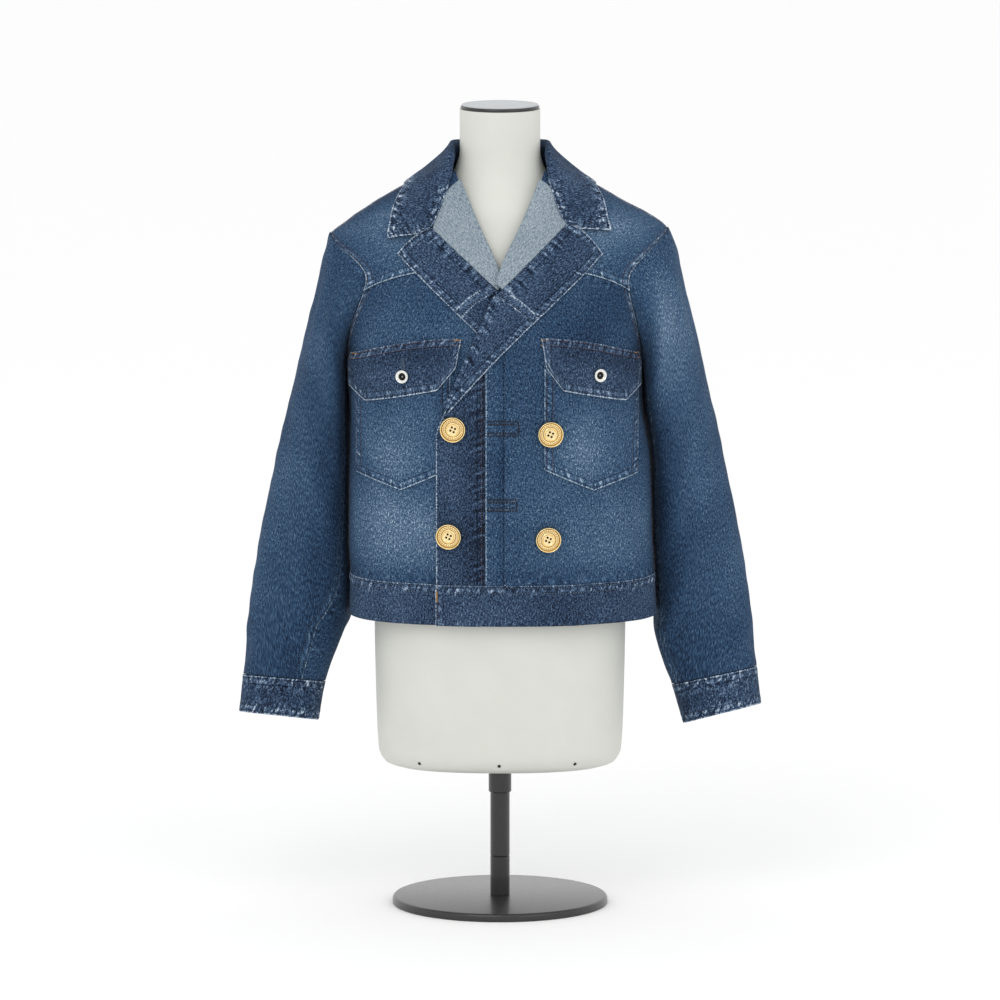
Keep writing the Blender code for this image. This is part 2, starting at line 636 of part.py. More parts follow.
def lapel(collection, side):
    """The turned-back front between its roll line and the band's seam."""
    along = np.linspace(0.04, 0.89, 9)[:, None]
    roll_z = ROLL_TOP[1] + (BAND_MEETS_ROLL[1] - ROLL_TOP[1]) * along
    corner_z = LAPEL_CORNER[1] + GORGE_LIFT * side
    edge_x = LAPEL_CORNER[0] + (BAND_MEETS_ROLL[0] - LAPEL_CORNER[0]) * along - 2 * SEAM
    edge_z = corner_z + (BAND_MEETS_ROLL[1] - corner_z) * along
    folded = np.full(along.shape, True)
    points = turned_back(side, (roll_x(roll_z), roll_z), (edge_x, edge_z), folded)
    word = "left" if side > 0 else "right"
    return cloth(collection, f"lapel_{word}", points, SINGLE, REVERSE_DENIM)


def lapel_band(collection, side):
    """The turned-back front band, from the neck edge down to where it turns over."""
    sewn_part = np.append(np.linspace(0.0, 0.92, 6), 1.0) * BAND_SEWN
    along = np.concatenate([sewn_part, np.linspace(BAND_SEWN + 0.045, 0.92, 9)])[:, None]
    outer_x = LAPEL_TIP[0] + (-BAND_OUT - LAPEL_TIP[0]) * along
    bow = OUTER_BOW * np.sin(pi * along**1.5)
    outer_z = LAPEL_TIP[1] + (BREAK - LAPEL_TIP[1]) * along + bow
    sewn = np.clip(along / BAND_SEWN, 0.0, 1.0)
    beyond = np.clip((along - BAND_SEWN) / (1.0 - BAND_SEWN), 0.0, 1.0)
    corner_z = LAPEL_CORNER[1] + GORGE_LIFT * side
    seam_z = corner_z + (BAND_MEETS_ROLL[1] - corner_z) * sewn
    seam_x = LAPEL_CORNER[0] + (BAND_MEETS_ROLL[0] - LAPEL_CORNER[0]) * sewn
    inner_z = seam_z + (BREAK - BAND_MEETS_ROLL[1]) * beyond
    folded = along > BAND_SEWN + 0.001
    passing = 0.0020 * (sewn >= 1.0)  # the seam's last row clears the front's edge
    inner_x = np.where(folded, roll_x(inner_z), seam_x - passing)
    top_bow = LAPEL_TOP_BOW * np.clip(1.0 - along / 0.3, 0.0, 1.0) ** 2
    points = turned_back(side, (inner_x, inner_z), (outer_x, outer_z), folded, top_bow)
    word = "left" if side > 0 else "right"
    return cloth(collection, f"lapel_band_{word}", points, SINGLE, DARK_DENIM)


# ---------------------------------------------------------------- collar
# seam, top of the stand, top of the fold, top of the fall, middle of the fall, edge
COLLAR_KNOTS = np.array([0.0, 0.24, 0.30, 0.36, 0.67, 1.0])
COLLAR_ACROSS = np.array([0.0, 0.12, 0.24, 0.30, 0.36, 0.57, 0.78, 1.0])
FOLD_HEIGHT, FOLD_WIDTH = 0.0040, 0.0056
STAND_LEAN = 0.0085  # how far the stand leans in towards the neck


def collar(collection):
    """Across it, each section runs up the stand, over the fold and down the fall; towards its
    ends the stand shrinks until the collar lies flat."""
    spots = np.linspace(-1.0, 1.0, 33)
    far = np.abs(spots)
    side = np.where(spots < 0, -1.0, 1.0)
    seam_angle = side * np.radians(column(COLLAR, "seam_angle", far))
    edge_angle = side * np.radians(column(COLLAR, "edge_angle", far))
    fronts = side * smooth_step(0.70, 0.92, far)
    seam_z = column(COLLAR, "seam_z", far) + GORGE_LIFT * fronts
    edge_z = column(COLLAR, "edge_z", far) + COLLAR_TIP_LIFT * fronts
    rise = column(COLLAR, "rise", far)
    stand_height = column(COLLAR, "stand", far)[:, None]
    seam = body(seam_angle, seam_z, rise * smooth_step(0.58, 0.68, far))
    edge = body(edge_angle, edge_z, rise)
    outward = (edge - seam) * np.array([1.0, 1.0, 0.0])
    outward /= np.linalg.norm(outward, axis=1, keepdims=True)
    up = np.array([0.0, 0.0, 1.0])
    belly = column(COLLAR, "belly", far)[:, None]
    stand_top = seam + (stand_height - FOLD_HEIGHT) * up - outward * STAND_LEAN
    fold = stand_top + FOLD_HEIGHT * up + outward * FOLD_WIDTH / 2
    fall = stand_top + outward * FOLD_WIDTH
    middle = fall * 0.5 + edge * 0.5 + outward * belly
    standing = np.stack([seam, stand_top, fold, fall, middle, edge])
    share = COLLAR_KNOTS[:, None]
    lying = body(
        seam_angle + (edge_angle - seam_angle) * share,
        seam_z + (edge_z - seam_z) * share,
        rise + 0.0012 * np.sin(pi * share),
    )
    stood = smooth_step(0.0, 0.024, stand_height)
    path = lying + (standing - lying) * stood
    # a smooth curve through each section's six points
    tangents = np.gradient(path, COLLAR_KNOTS, axis=0)
    k = np.searchsorted(COLLAR_KNOTS, COLLAR_ACROSS, side="right") - 1
    k = np.clip(k, 0, len(COLLAR_KNOTS) - 2)
    h = np.diff(COLLAR_KNOTS)[k][:, None, None]
    s = (COLLAR_ACROSS - COLLAR_KNOTS[k])[:, None, None] / h
    points = (
        path[k] * (1 + 2 * s) * (1 - s) ** 2
        + tangents[k] * h * s * (1 - s) ** 2
        + path[k + 1] * s * s * (3 - 2 * s)
        - tangents[k + 1] * h * s * s * (1 - s)
    )
    return cloth(collection, "collar", points[::-1], DOUBLE, DARK_DENIM)


# ---------------------------------------------------------------- sleeves
def sleeve(side, spot, turn):
    """A point of a sleeve: spot is a place down it, turn the angle from its outer edge
    round its front. Each ring is a superellipse between an outer and an inner edge."""
    spot, turn = np.broadcast_arrays(np.asarray(spot, float), np.asarray(turn, float))
    centre_y = column(SLEEVE, "centre_y", spot)
    outer_x, outer_z = column(SLEEVE, "outer_x", spot), column(SLEEVE, "outer_z", spot)
    inner_z = column(SLEEVE, "inner_z", spot)
    off = column(SLEEVE, "off_left" if side > 0 else "off_right", spot)
    inner_x = side_of_body(side, 0.0, inner_z) + off
    at_cuff = smooth_step(8.0, 10.0, spot)
    outer_z = outer_z + CUFF_OUTER_LIFT[side] * at_cuff
    inner_z = inner_z + CUFF_INNER_LIFT[side] * at_cuff
    outer_x = outer_x + side * UPPER_ARM_SHIFT * np.clip(spot, 0, 1) * (1 - smooth_step(3, 6, spot))
    started = np.clip(spot / 2.0, 0.0, 1.0)
    cos = signed_power(np.cos(turn), 1.0 - 0.1 * started)
    sin = signed_power(np.sin(turn), 1.1 - 0.2 * started)
    taper = 1.0 - ARMHOLE_TAPER * (1.0 - started) * (1.0 - np.cos(turn)) / 2.0
    x = (outer_x + inner_x) / 2 + (outer_x - inner_x) / 2 * cos
    z = (outer_z + inner_z) / 2 + (outer_z - inner_z) / 2 * cos
    y = centre_y - column(SLEEVE, "half_depth", spot) * sin * taper
    z = z + CUFF_FRONT_LIFT * np.sin(turn) * smooth_step(6.5, 10.0, spot)
    # near the armhole the rings lean onto the cut edge of the body
    first_z = ARMHOLE_MIDDLE + ARMHOLE_HALF * np.cos(turn)
    first_y = -np.sign(np.sin(turn)) * armhole_depth(np.abs(turn))
    edge_x = side_of_body(side, first_y, first_z)
    tip_x, underarm_x = SLEEVE[0].outer_x, side_of_body(side, 0.0, UNDERARM)
    flat_x = (tip_x + underarm_x) / 2 + (tip_x - underarm_x) / 2 * np.cos(turn)
    gap = SLEEVE_SEAM_GAP[0] + (SLEEVE_SEAM_GAP[1] - SLEEVE_SEAM_GAP[0]) * (1 - np.cos(turn)) / 2
    fade = np.clip(1.0 - spot / 2.6, 0.0, 1.0) ** 2
    x = x + (edge_x - flat_x) * fade + gap * np.clip(1.0 - spot, 0.0, 1.0)
    depth = fold_depth(SLEEVE_FOLDS, spot, np.degrees(turn))
    depth = depth * smooth_step(0.3, 1.2, spot) * (1.0 - smooth_step(9.7, 10.0, spot))
    x = x + depth * np.cos(turn)
    y = y - depth * np.sin(turn)
    return np.stack([side * x, y, z], axis=-1)


SLEEVE_SPOTS = np.array(
    [0.0, 0.5, 1.1, 1.8, 2.6, 3.5, 4.4, 5.2, 6.0, 6.8, 7.5, 8.1, 8.7, 9.2, 9.6, 9.985]
)
# seams of the under sleeve: at its front and at its back, at the armhole, elbow and cuff
UnderSeam = namedtuple("UnderSeam", "spot front back")
UNDER_SEAMS = {
    -1: [
        UnderSeam(0.0, 150.0, -150.0),
        UnderSeam(5.0, 150.0, -135.0),
        UnderSeam(7.0, 140.0, -130.0),
        UnderSeam(8.6, 115.0, -125.0),
        UnderSeam(10.0, 115.0, -122.0),
    ],
    1: [
        UnderSeam(0.0, 150.0, -150.0),
        UnderSeam(5.0, 155.0, -135.0),
        UnderSeam(7.0, 157.0, -130.0),
        UnderSeam(8.6, 155.0, -125.0),
        UnderSeam(10.0, 152.0, -122.0),
    ],
}


def sleeve_pieces(collection, side):
    word = "left" if side > 0 else "right"
    spots = SLEEVE_SPOTS[:, None]
    front = np.radians(column(UNDER_SEAMS[side], "front", spots))
    back = np.radians(column(UNDER_SEAMS[side], "back", spots))
    gap = SEAM / 2 / 0.030
    upper = back + gap + (front - back - 2 * gap) * np.linspace(0.0, 1.0, 21)[None, :]
    spread = 2 * pi + back - front - 2 * gap
    under = front + gap + spread * np.linspace(0.0, 1.0, 6)[None, :]
    under = (under + pi) % (2 * pi) - pi
    wall = SINGLE
    cloth(collection, f"sleeve_upper_{word}", sleeve(side, spots, upper)[:, :: side], wall, DENIM)
    cloth(collection, f"sleeve_under_{word}", sleeve(side, spots, under)[:, :: side], wall, DENIM)
    turns = np.linspace(-pi, pi, SLEEVE_AROUND, endpoint=False)[None, :]
    cuff_spots = np.linspace(CUFF_PLACE, SLEEVE_END, 3)[:, None] + 0.012
    points = sleeve(side, cuff_spots, turns)[:, :: side]
    cloth(collection, f"cuff_{word}", points, DOUBLE, DARK_DENIM, closed=True)


# ---------------------------------------------------------------- pockets, flaps, buttons
def foot_line(corners, shares):
    at = [corner.share for corner in corners]
    heights = [corner.height for corner in corners]
    return np.interp(shares, at, heights)


def flap_top(share):
    return FLAP_TOP - FLAP_SLOPE * share**2


def evenly_round(low, high, count, steepest=1.2):
    """Shares of a span spaced evenly round the body, which turns away at its outer end."""
    even = np.linspace(0.0, 1.0, count) * steepest
    return low + (high - low) * np.sin(even) / np.sin(steepest)


def patch_points(side, span, share, height, rise):
    x = span.inner + (span.outer - span.inner) * share
    if side > 0:
        rise = rise + overlap_rise(x, height)
    return body(angle_at(x, height), height, rise)[:, ::side]


def pocket_pieces(collection, side):
    word = "left" if side > 0 else "right"
    corners = [corner.share for corner in FLAP_FOOT]
    across = np.concatenate([[0.0, 0.1], np.linspace(0.2, 0.45, 3), evenly_round(0.55, 1.0, 6)])
    foot_share = np.interp(across, [0.0, 0.2, 0.874, 1.0], corners)
    down = np.linspace(0.0, 1.0, 6)[:, None]
    share = across + (foot_share - across) * down
    height = flap_top(across) + (foot_line(FLAP_FOOT, foot_share) - flap_top(across)) * down
    rise = FLAP_RISE[0] + (FLAP_RISE[1] - FLAP_RISE[0]) * smooth_step(0.0, 0.3, down)
    points = patch_points(side, FLAP_SPAN[side], share, height, rise)
    cloth(collection, f"pocket_flap_{word}", points, SINGLE, DARK_DENIM)

    lowest = POCKET_FOOT[1].share
    share = np.concatenate([np.linspace(0, lowest, 5), evenly_round(lowest, 1.0, 8)[1:]])
    top = flap_top(share) - POCKET_BELOW_SEAM
    height = top + (foot_line(POCKET_FOOT, share) - top) * np.linspace(0.0, 1.0, 10)[:, None]
    points = patch_points(side, POCKET_SPAN[side], share + 0.0 * height, height, POCKET_RISE)
    cloth(collection, f"pocket_{word}", points, SINGLE, DENIM)


def fasten(collection, name, profile, finish, x, height, rise, steps):
    """A turned button set on the front, its axis along the cloth's outward normal."""
    angle = angle_at(np.array([x]), np.array([height]))
    _, normal = section_point(JACKET, angle, np.array([height]))
    seat = body(angle, np.array([height]), rise)[0]
    obj = turned(collection, name, profile, finish, steps)
    obj.location = Vector(seat)
    obj.rotation_mode = "QUATERNION"
    obj.rotation_quaternion = Vector(normal[0]).to_track_quat("Z", "Y")
    return obj


def button_profile(radius, thick, rim):
    """A dished disc with a raised rim on a short shank: from the face's centre, over the rim,
    round to the back and down the shank."""
    return [
        (0.0, thick - rim),
        (radius * 0.62, thick - rim),
        (radius * 0.78, thick),
        (radius * 0.94, thick),
        (radius, thick - rim),
        (radius * 0.96, thick * 0.35),
        (radius * 0.36, thick * 0.30),
        (radius * 0.36, 0.0),
        (0.0, 0.0),
    ]


def buttons(collection):
    for name, (x, height) in GOLD_BUTTONS.items():
        rise = float(overlap_rise(np.array(x), np.array(height))) + SINGLE / 2 + 0.0010
        if name == "front_button_upper_left":  # it stands on the pocket's edge
            rise += POCKET_RISE
        profile = button_profile(GOLD_RADIUS, 0.0055, 0.0012)
        fasten(collection, name, profile, GOLD, x, height, rise, 16)
    for side, (x, height) in FLAP_BUTTONS.items():
        word = "left" if side > 0 else "right"
        rise = FLAP_RISE[1] + SINGLE / 2 + 0.0010
        rise = rise + (float(overlap_rise(np.array(x), np.array(height))) if side > 0 else 0.0)
        profile = button_profile(FLAP_BUTTON_RADIUS, 0.0040, 0.0010)
        fasten(collection, f"flap_button_{word}", profile, SILVER, x, height, rise, 12)


# ---------------------------------------------------------------- dress form and stand
def form_torso(collection):
    """A closed loft through the form's sections, flat at the bottom and at the neck's top."""
    heights = np.concatenate(
        [
            [0.178, 0.180, 0.184, 0.190, 0.198],
            np.linspace(0.240, 0.460, 5),
            np.linspace(0.500, 0.800, 8),
            [0.822, 0.840, 0.854, 0.868, 0.880, 0.892, 0.903, 0.914, 0.928, 0.946, NECK_TOP],
        ]
    )
    around = 24
    angles = np.linspace(-pi, pi, around, endpoint=False)[None, :] + 0.0 * heights[:, None]
    points, _ = section_point(FORM, angles, heights[:, None] + 0.0 * angles)
    mesh = grid_mesh("form_torso", points, closed=True)
    shape = bmesh.new()
    shape.from_mesh(mesh)
    bmesh.ops.holes_fill(shape, edges=[e for e in shape.edges if e.is_boundary])
    bmesh.ops.triangulate(shape, faces=[f for f in shape.faces if len(f.verts) > 4])
    bmesh.ops.recalc_face_normals(shape, faces=shape.faces)
    shape.to_mesh(mesh)
    shape.free()
    return place(collection, "form_torso", mesh, LINEN)


def stand(collection):
    cap_low = NECK_TOP + SEAM
    cap = [(0.0, CAP_THICK), (0.0475, CAP_THICK), (0.0485, CAP_THICK - 0.0006)]
    cap += [(0.0490, CAP_THICK - 0.0014), (0.0490, 0.0), (0.0, 0.0)]
    turned(collection, "neck_cap", cap, BLACK, 24).location.z = cap_low
    plate = [(0.0, PLATE_THICK), (0.0470, PLATE_THICK), (0.0477, PLATE_THICK / 2), (0.0477, 0.0)]
    plate += [(0.0, 0.0)]
    top = turned(collection, "neck_plate", plate, GREY, 24)
    top.location.z = cap_low + CAP_THICK + SEAM
    low = TUBE_TOP + SEAM
    socket_top = FORM_BOTTOM - SEAM
    socket = [(0.0, socket_top), (SOCKET_RADIUS, socket_top), (SOCKET_RADIUS, low + 0.001)]
    socket += [(SOCKET_RADIUS - 0.001, low), (0.0, low)]
    turned(collection, "stand_socket", socket, BLACK, 20)
    groove = 0.0008
    tube = [(0.0, TUBE_TOP), (TUBE_RADIUS, TUBE_TOP), (TUBE_RADIUS, TUBE_JOINT + groove)]
    tube += [(TUBE_RADIUS - groove, TUBE_JOINT), (TUBE_RADIUS, TUBE_JOINT - groove)]
    tube += [(TUBE_RADIUS, BASE_THICK + SEAM), (0.0, BASE_THICK + SEAM)]
    turned(collection, "stand_tube", tube, BLACK, 20)
    base = [(0.0, BASE_THICK), (BASE_RADIUS - 0.004, BASE_THICK)]
    base += [(BASE_RADIUS - 0.001, BASE_THICK - 0.001), (BASE_RADIUS, BASE_THICK - 0.004)]
    base += [(BASE_RADIUS, 0.001), (BASE_RADIUS - 0.001, 0.0), (0.0, 0.0)]
    turned(collection, "stand_base", base, BLACK, 32)


def main():
    clear_scene()
    jacket = new_collection("denim_jacket_on_dress_form")
    back_pieces(jacket)
    front_strips(jacket)
    for side in (1, -1):
        front_pieces(jacket, side)
        lapel(jacket, side)
        lapel_band(jacket, side)
        sleeve_pieces(jacket, side)
        pocket_pieces(jacket, side)
    collar(jacket)
    waistband(jacket)
    buttons(jacket)
    form_torso(jacket)
    stand(jacket)


main()
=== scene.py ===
"""Cropped double-breasted denim jacket on a limbless dress form: the visible model.

Metres, +Z up, the garment faces -Y and the wearer's left is +X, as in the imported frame. Every
piece of cloth is a surface worked out as whole numpy arrays on a grid of (across, up), given
its wall by a Solidify modifier, and sewn with small stitches along its edges.
"""

import logging
from collections.abc import Callable
from dataclasses import dataclass, field
from enum import Enum
from math import pi, radians
from typing import NamedTuple

import bpy
import numpy as np
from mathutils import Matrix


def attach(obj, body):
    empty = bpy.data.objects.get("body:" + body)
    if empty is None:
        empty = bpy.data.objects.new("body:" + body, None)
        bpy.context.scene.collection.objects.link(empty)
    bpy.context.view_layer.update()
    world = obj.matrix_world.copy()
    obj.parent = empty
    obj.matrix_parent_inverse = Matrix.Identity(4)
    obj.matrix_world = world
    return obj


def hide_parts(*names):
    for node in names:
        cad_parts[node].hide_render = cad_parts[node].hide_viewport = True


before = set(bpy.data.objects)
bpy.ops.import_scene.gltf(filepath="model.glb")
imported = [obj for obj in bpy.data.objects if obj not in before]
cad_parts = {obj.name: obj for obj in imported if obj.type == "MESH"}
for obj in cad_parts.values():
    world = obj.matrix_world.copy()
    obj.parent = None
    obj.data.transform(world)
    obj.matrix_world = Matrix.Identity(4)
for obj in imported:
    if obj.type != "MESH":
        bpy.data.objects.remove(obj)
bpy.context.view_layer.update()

Array = np.ndarray
Curve = Callable[[Array], Array]
Profile = list[tuple[float, float]]
LOG = logging.getLogger("jacket")

# ---------------------------------------------------------------- sizes of the cut
SEAM = 0.0003  # space between neighbouring pieces
SINGLE = 0.0016  # wall of one layer of denim
DOUBLE = 0.0024  # wall of a lined band, cuff or collar
OVERLAY = 0.0013  # the same where it lies on another piece, which leaves room for its puckers

HEM, WAIST_SEAM, UNDERARM = 0.370, 0.4215, 0.672
SHOULDER, NECKLINE = 0.849, 0.929

ARMHOLE_MIDDLE = (SHOULDER + UNDERARM) / 2
ARMHOLE_HALF = (SHOULDER - UNDERARM) / 2
ARMHOLE_REACH, ARMHOLE_TAPER = 0.098, 0.7
ARMHOLE_STEPS, YOKE_STEP = 12, 5

YOKE_FRONT, YOKE_LEVEL, YOKE_BACK = 0.8115, 0.64, 0.800
YOKE_SIDE = ARMHOLE_MIDDLE + ARMHOLE_HALF * np.cos(pi * YOKE_STEP / ARMHOLE_STEPS)

BAND_OUT, BAND_IN, PLEAT_IN = 0.079, 0.018, 0.005
PLEAT_STEP, PLEAT_TOP = 0.0009, 0.785
OVERLAP = 0.0052  # the left front lies this far outside the right one
OVERLAP_ENDS = (0.085, 0.125)
OVERLAP_TOP = (0.820, 0.880)

BREAK, BAND_TOP = 0.620, 0.735
LAPEL_RISE, LAPEL_RISE_TOP = 0.0026, 0.0098
POCKET_RISE, FLAP_RISE = 0.0027, (0.0026, 0.0055)

SHOULDER_LIFT = 0.0035
LIFT_HEIGHTS, LIFT_WIDTHS = (0.780, 0.860), (0.150, 0.205)
GORGE_LIFT, COLLAR_TIP_LIFT = 0.0032, 0.0043
SLEEVE_SEAM_GAP = (0.0014, 0.0026)

NECK_RADIUS, NECK_TOP = 0.050, 1.003


class Section(NamedTuple):
    """A superellipse across the body or the form."""

    height: float
    half_width: float
    front: float
    back: float
    shift: float
    square: float


JACKET = [
    Section(0.370, 0.1910, 0.112, 0.108, 0.004, 2.4),
    Section(0.421, 0.1895, 0.113, 0.109, 0.003, 2.4),
    Section(0.465, 0.1890, 0.116, 0.111, 0.001, 2.4),
    Section(0.566, 0.1875, 0.121, 0.114, 0.000, 2.4),
    Section(0.641, 0.1835, 0.123, 0.117, -0.0055, 2.6),
    Section(0.672, 0.1830, 0.123, 0.118, -0.0065, 2.6),
    Section(0.724, 0.1860, 0.120, 0.118, -0.0075, 2.5),
    Section(0.760, 0.1910, 0.116, 0.116, -0.0060, 2.4),
    Section(0.800, 0.2000, 0.109, 0.112, -0.003, 2.25),
    Section(0.834, 0.2145, 0.101, 0.105, -0.0015, 2.15),
    Section(0.849, 0.2095, 0.097, 0.101, -0.001, 2.1),
    Section(0.868, 0.1850, 0.091, 0.095, 0.000, 2.05),
    Section(0.888, 0.1520, 0.084, 0.088, 0.000, 2.0),
    Section(0.907, 0.1190, 0.077, 0.080, 0.000, 2.0),
    Section(0.920, 0.0920, 0.070, 0.072, 0.000, 2.0),
    Section(0.929, 0.0730, 0.064, 0.067, 0.000, 2.0),
    Section(0.940, 0.0500, 0.056, 0.058, 0.000, 2.0),
]
FORM = [
    Section(0.178, 0.1300, 0.078, 0.074, 0.0, 2.3),
    Section(0.183, 0.1440, 0.090, 0.086, 0.0, 2.3),
    Section(0.198, 0.1520, 0.097, 0.093, 0.0, 2.3),
    Section(0.260, 0.1550, 0.100, 0.097, 0.0, 2.3),
    Section(0.374, 0.1570, 0.101, 0.100, 0.0, 2.3),
    Section(0.460, 0.1480, 0.094, 0.094, 0.0, 2.2),
    Section(0.560, 0.1240, 0.086, 0.082, 0.0, 2.2),
    Section(0.660, 0.1420, 0.101, 0.094, 0.0, 2.2),
    Section(0.740, 0.1560, 0.111, 0.101, 0.0, 2.2),
    Section(0.800, 0.1660, 0.101, 0.099, 0.0, 2.1),
    Section(0.836, 0.1680, 0.092, 0.091, 0.0, 2.0),
    Section(0.858, 0.1520, 0.084, 0.084, 0.0, 2.0),
    Section(0.880, 0.1220, 0.077, 0.077, 0.0, 2.0),
    Section(0.898, 0.0910, 0.068, 0.068, 0.0, 2.0),
    Section(0.912, 0.0690, 0.059, 0.059, 0.0, 2.0),
    Section(0.930, 0.0555, 0.053, 0.053, 0.0, 2.0),
    Section(0.950, NECK_RADIUS, NECK_RADIUS, NECK_RADIUS, 0.0, 2.0),
    Section(NECK_TOP, NECK_RADIUS, NECK_RADIUS, NECK_RADIUS, 0.0, 2.0),
]


class Ring(NamedTuple):
    """A ring of a sleeve, between its outer and its inner edge."""

    place: float
    outer_x: float
    outer_z: float
    inner_z: float
    off_right: float
    off_left: float
    half_depth: float
    centre_y: float


SLEEVE = [
    Ring(0.0, 0.2100, 0.8490, 0.6720, 0.0000, 0.0000, 0.098, 0.000),
    Ring(1.0, 0.2190, 0.8260, 0.6640, 0.0026, 0.0026, 0.089, 0.005),
    Ring(2.0, 0.2300, 0.7740, 0.6420, 0.0030, 0.0030, 0.082, 0.011),
    Ring(3.0, 0.2430, 0.7220, 0.6080, 0.0030, 0.0030, 0.077, 0.017),
    Ring(4.0, 0.2560, 0.6640, 0.5680, 0.0030, 0.0030, 0.073, 0.022),
    Ring(5.0, 0.2710, 0.6020, 0.5180, 0.0030, 0.0030, 0.068, 0.026),
    Ring(6.0, 0.2850, 0.5360, 0.4640, 0.0030, 0.0030, 0.065, 0.028),
    Ring(7.0, 0.3000, 0.4640, 0.4080, 0.0030, 0.0030, 0.061, 0.028),
    Ring(8.0, 0.3110, 0.3940, 0.3600, 0.0045, 0.0030, 0.056, 0.026),
    Ring(8.5, 0.3145, 0.3650, 0.3430, 0.0100, 0.0005, 0.053, 0.024),
    Ring(9.0, 0.3175, 0.3360, 0.3240, 0.0170, 0.0045, 0.050, 0.023),
    Ring(10.0, 0.3215, 0.2875, 0.2790, 0.0330, 0.0215, 0.043, 0.020),
    Ring(11.0, 0.3265, 0.2405, 0.2300, 0.0420, 0.0365, 0.041, 0.019),
]
CUFF_PLACE, SLEEVE_END = 10.0, 11.0
CUFF_OUTER_LIFT = {-1: 0.0, 1: 0.0100}
CUFF_INNER_LIFT = {-1: 0.0, 1: -0.0040}
CUFF_FRONT_LIFT, UPPER_ARM_SHIFT = 0.0065, 0.0012


class Roll(NamedTuple):
    """A point of the line where the fronts roll back."""

    height: float
    across: float


ROLL_LINE = [
    Roll(0.612, -0.0790),
    Roll(0.620, -0.0765),
    Roll(0.650, -0.0638),
    Roll(0.700, -0.0410),
    Roll(0.750, -0.0188),
    Roll(0.780, -0.0068),
    Roll(0.815, 0.0035),
    Roll(0.870, 0.0290),
    Roll(0.9205, 0.0505),
    Roll(0.930, 0.0545),
]


class CollarSection(NamedTuple):
    """The collar at a place from its back centre, 0, to its front end, 1."""

    place: float
    seam_angle: float
    seam_z: float
    stand: float
    belly: float
    edge_angle: float
    edge_z: float
    rise: float


COLLAR = [
    CollarSection(0.00, 180.0, 0.9315, 0.0260, 0.0040, 180.0, 0.8890, 0.0034),
    CollarSection(0.25, 138.0, 0.9315, 0.0270, 0.0040, 138.0, 0.8910, 0.0034),
    CollarSection(0.45, 104.0, 0.9315, 0.0290, -0.0045, 105.0, 0.9060, 0.0034),
    CollarSection(0.53, 89.0, 0.9315, 0.0290, -0.0110, 89.0, 0.9120, 0.0036),
    CollarSection(0.63, 67.0, 0.9320, 0.0225, -0.0080, 77.0, 0.9070, 0.0040),
    CollarSection(0.69, 54.0, 0.9310, 0.0150, -0.0030, 66.5, 0.8980, 0.0044),
    CollarSection(0.75, 41.0, 0.9240, 0.0070, 0.0, 56.5, 0.8865, 0.0048),
    CollarSection(0.88, 26.8, 0.8850, 0.0, 0.0, 46.7, 0.8680, 0.0050),
    CollarSection(0.94, 25.4, 0.8680, 0.0, 0.0, 44.0, 0.8600, 0.0050),
    CollarSection(1.00, 28.4, 0.8580, 0.0, 0.0, 42.0, 0.8534, 0.0050),
]


class Fold(NamedTuple):
    """A soft ridge, or a trough where its depth is negative."""

    along: float
    around: float
    slant: float
    length: float
    width: float
    depth: float


BODY_FOLDS = [  # along is a height, around an angle from the centre front
    Fold(0.462, -62.0, 60.0, 0.030, 9.0, -0.0024),
    Fold(0.455, -30.0, -40.0, 0.028, 8.0, -0.0018),
    Fold(0.460, 36.0, 50.0, 0.030, 8.0, -0.0022),
    Fold(0.458, 66.0, -70.0, 0.030, 9.0, -0.0024),
    Fold(0.600, -92.0, 120.0, 0.045, 9.0, -0.0024),
    Fold(0.590, 92.0, -120.0, 0.050, 9.0, -0.0022),
    Fold(0.690, 150.0, 60.0, 0.080, 10.0, -0.0030),
    Fold(0.700, 207.0, -60.0, 0.085, 10.0, -0.0028),
    Fold(0.520, 166.0, 20.0, 0.080, 10.0, -0.0026),
    Fold(0.500, 196.0, -30.0, 0.070, 10.0, -0.0026),
    Fold(0.560, 124.0, 80.0, 0.070, 10.0, -0.0024),
    Fold(0.560, 238.0, -80.0, 0.070, 10.0, -0.0024),
    # smaller creases between the main ones
    Fold(0.448, -74.0, 90.0, 0.018, 4.5, -0.0011),
    Fold(0.446, -48.0, 60.0, 0.016, 4.0, -0.0009),
    Fold(0.450, 50.0, -80.0, 0.020, 4.5, -0.0011),
    Fold(0.470, 78.0, -40.0, 0.026, 5.0, -0.0010),
    Fold(0.520, -70.0, 70.0, 0.040, 6.0, 0.0010),
    Fold(0.505, 72.0, -60.0, 0.036, 6.0, 0.0011),
    Fold(0.640, -80.0, 90.0, 0.030, 5.0, -0.0012),
    Fold(0.635, 80.0, -100.0, 0.032, 5.0, -0.0012),
    Fold(0.610, 138.0, 50.0, 0.050, 6.0, 0.0012),
    Fold(0.640, 222.0, -70.0, 0.055, 6.0, 0.0012),
    Fold(0.480, 148.0, 60.0, 0.035, 6.0, -0.0014),
    Fold(0.470, 214.0, -60.0, 0.034, 6.0, -0.0013),
    Fold(0.740, 118.0, 80.0, 0.040, 6.0, -0.0014),
    Fold(0.735, 243.0, -80.0, 0.040, 6.0, -0.0014),
]
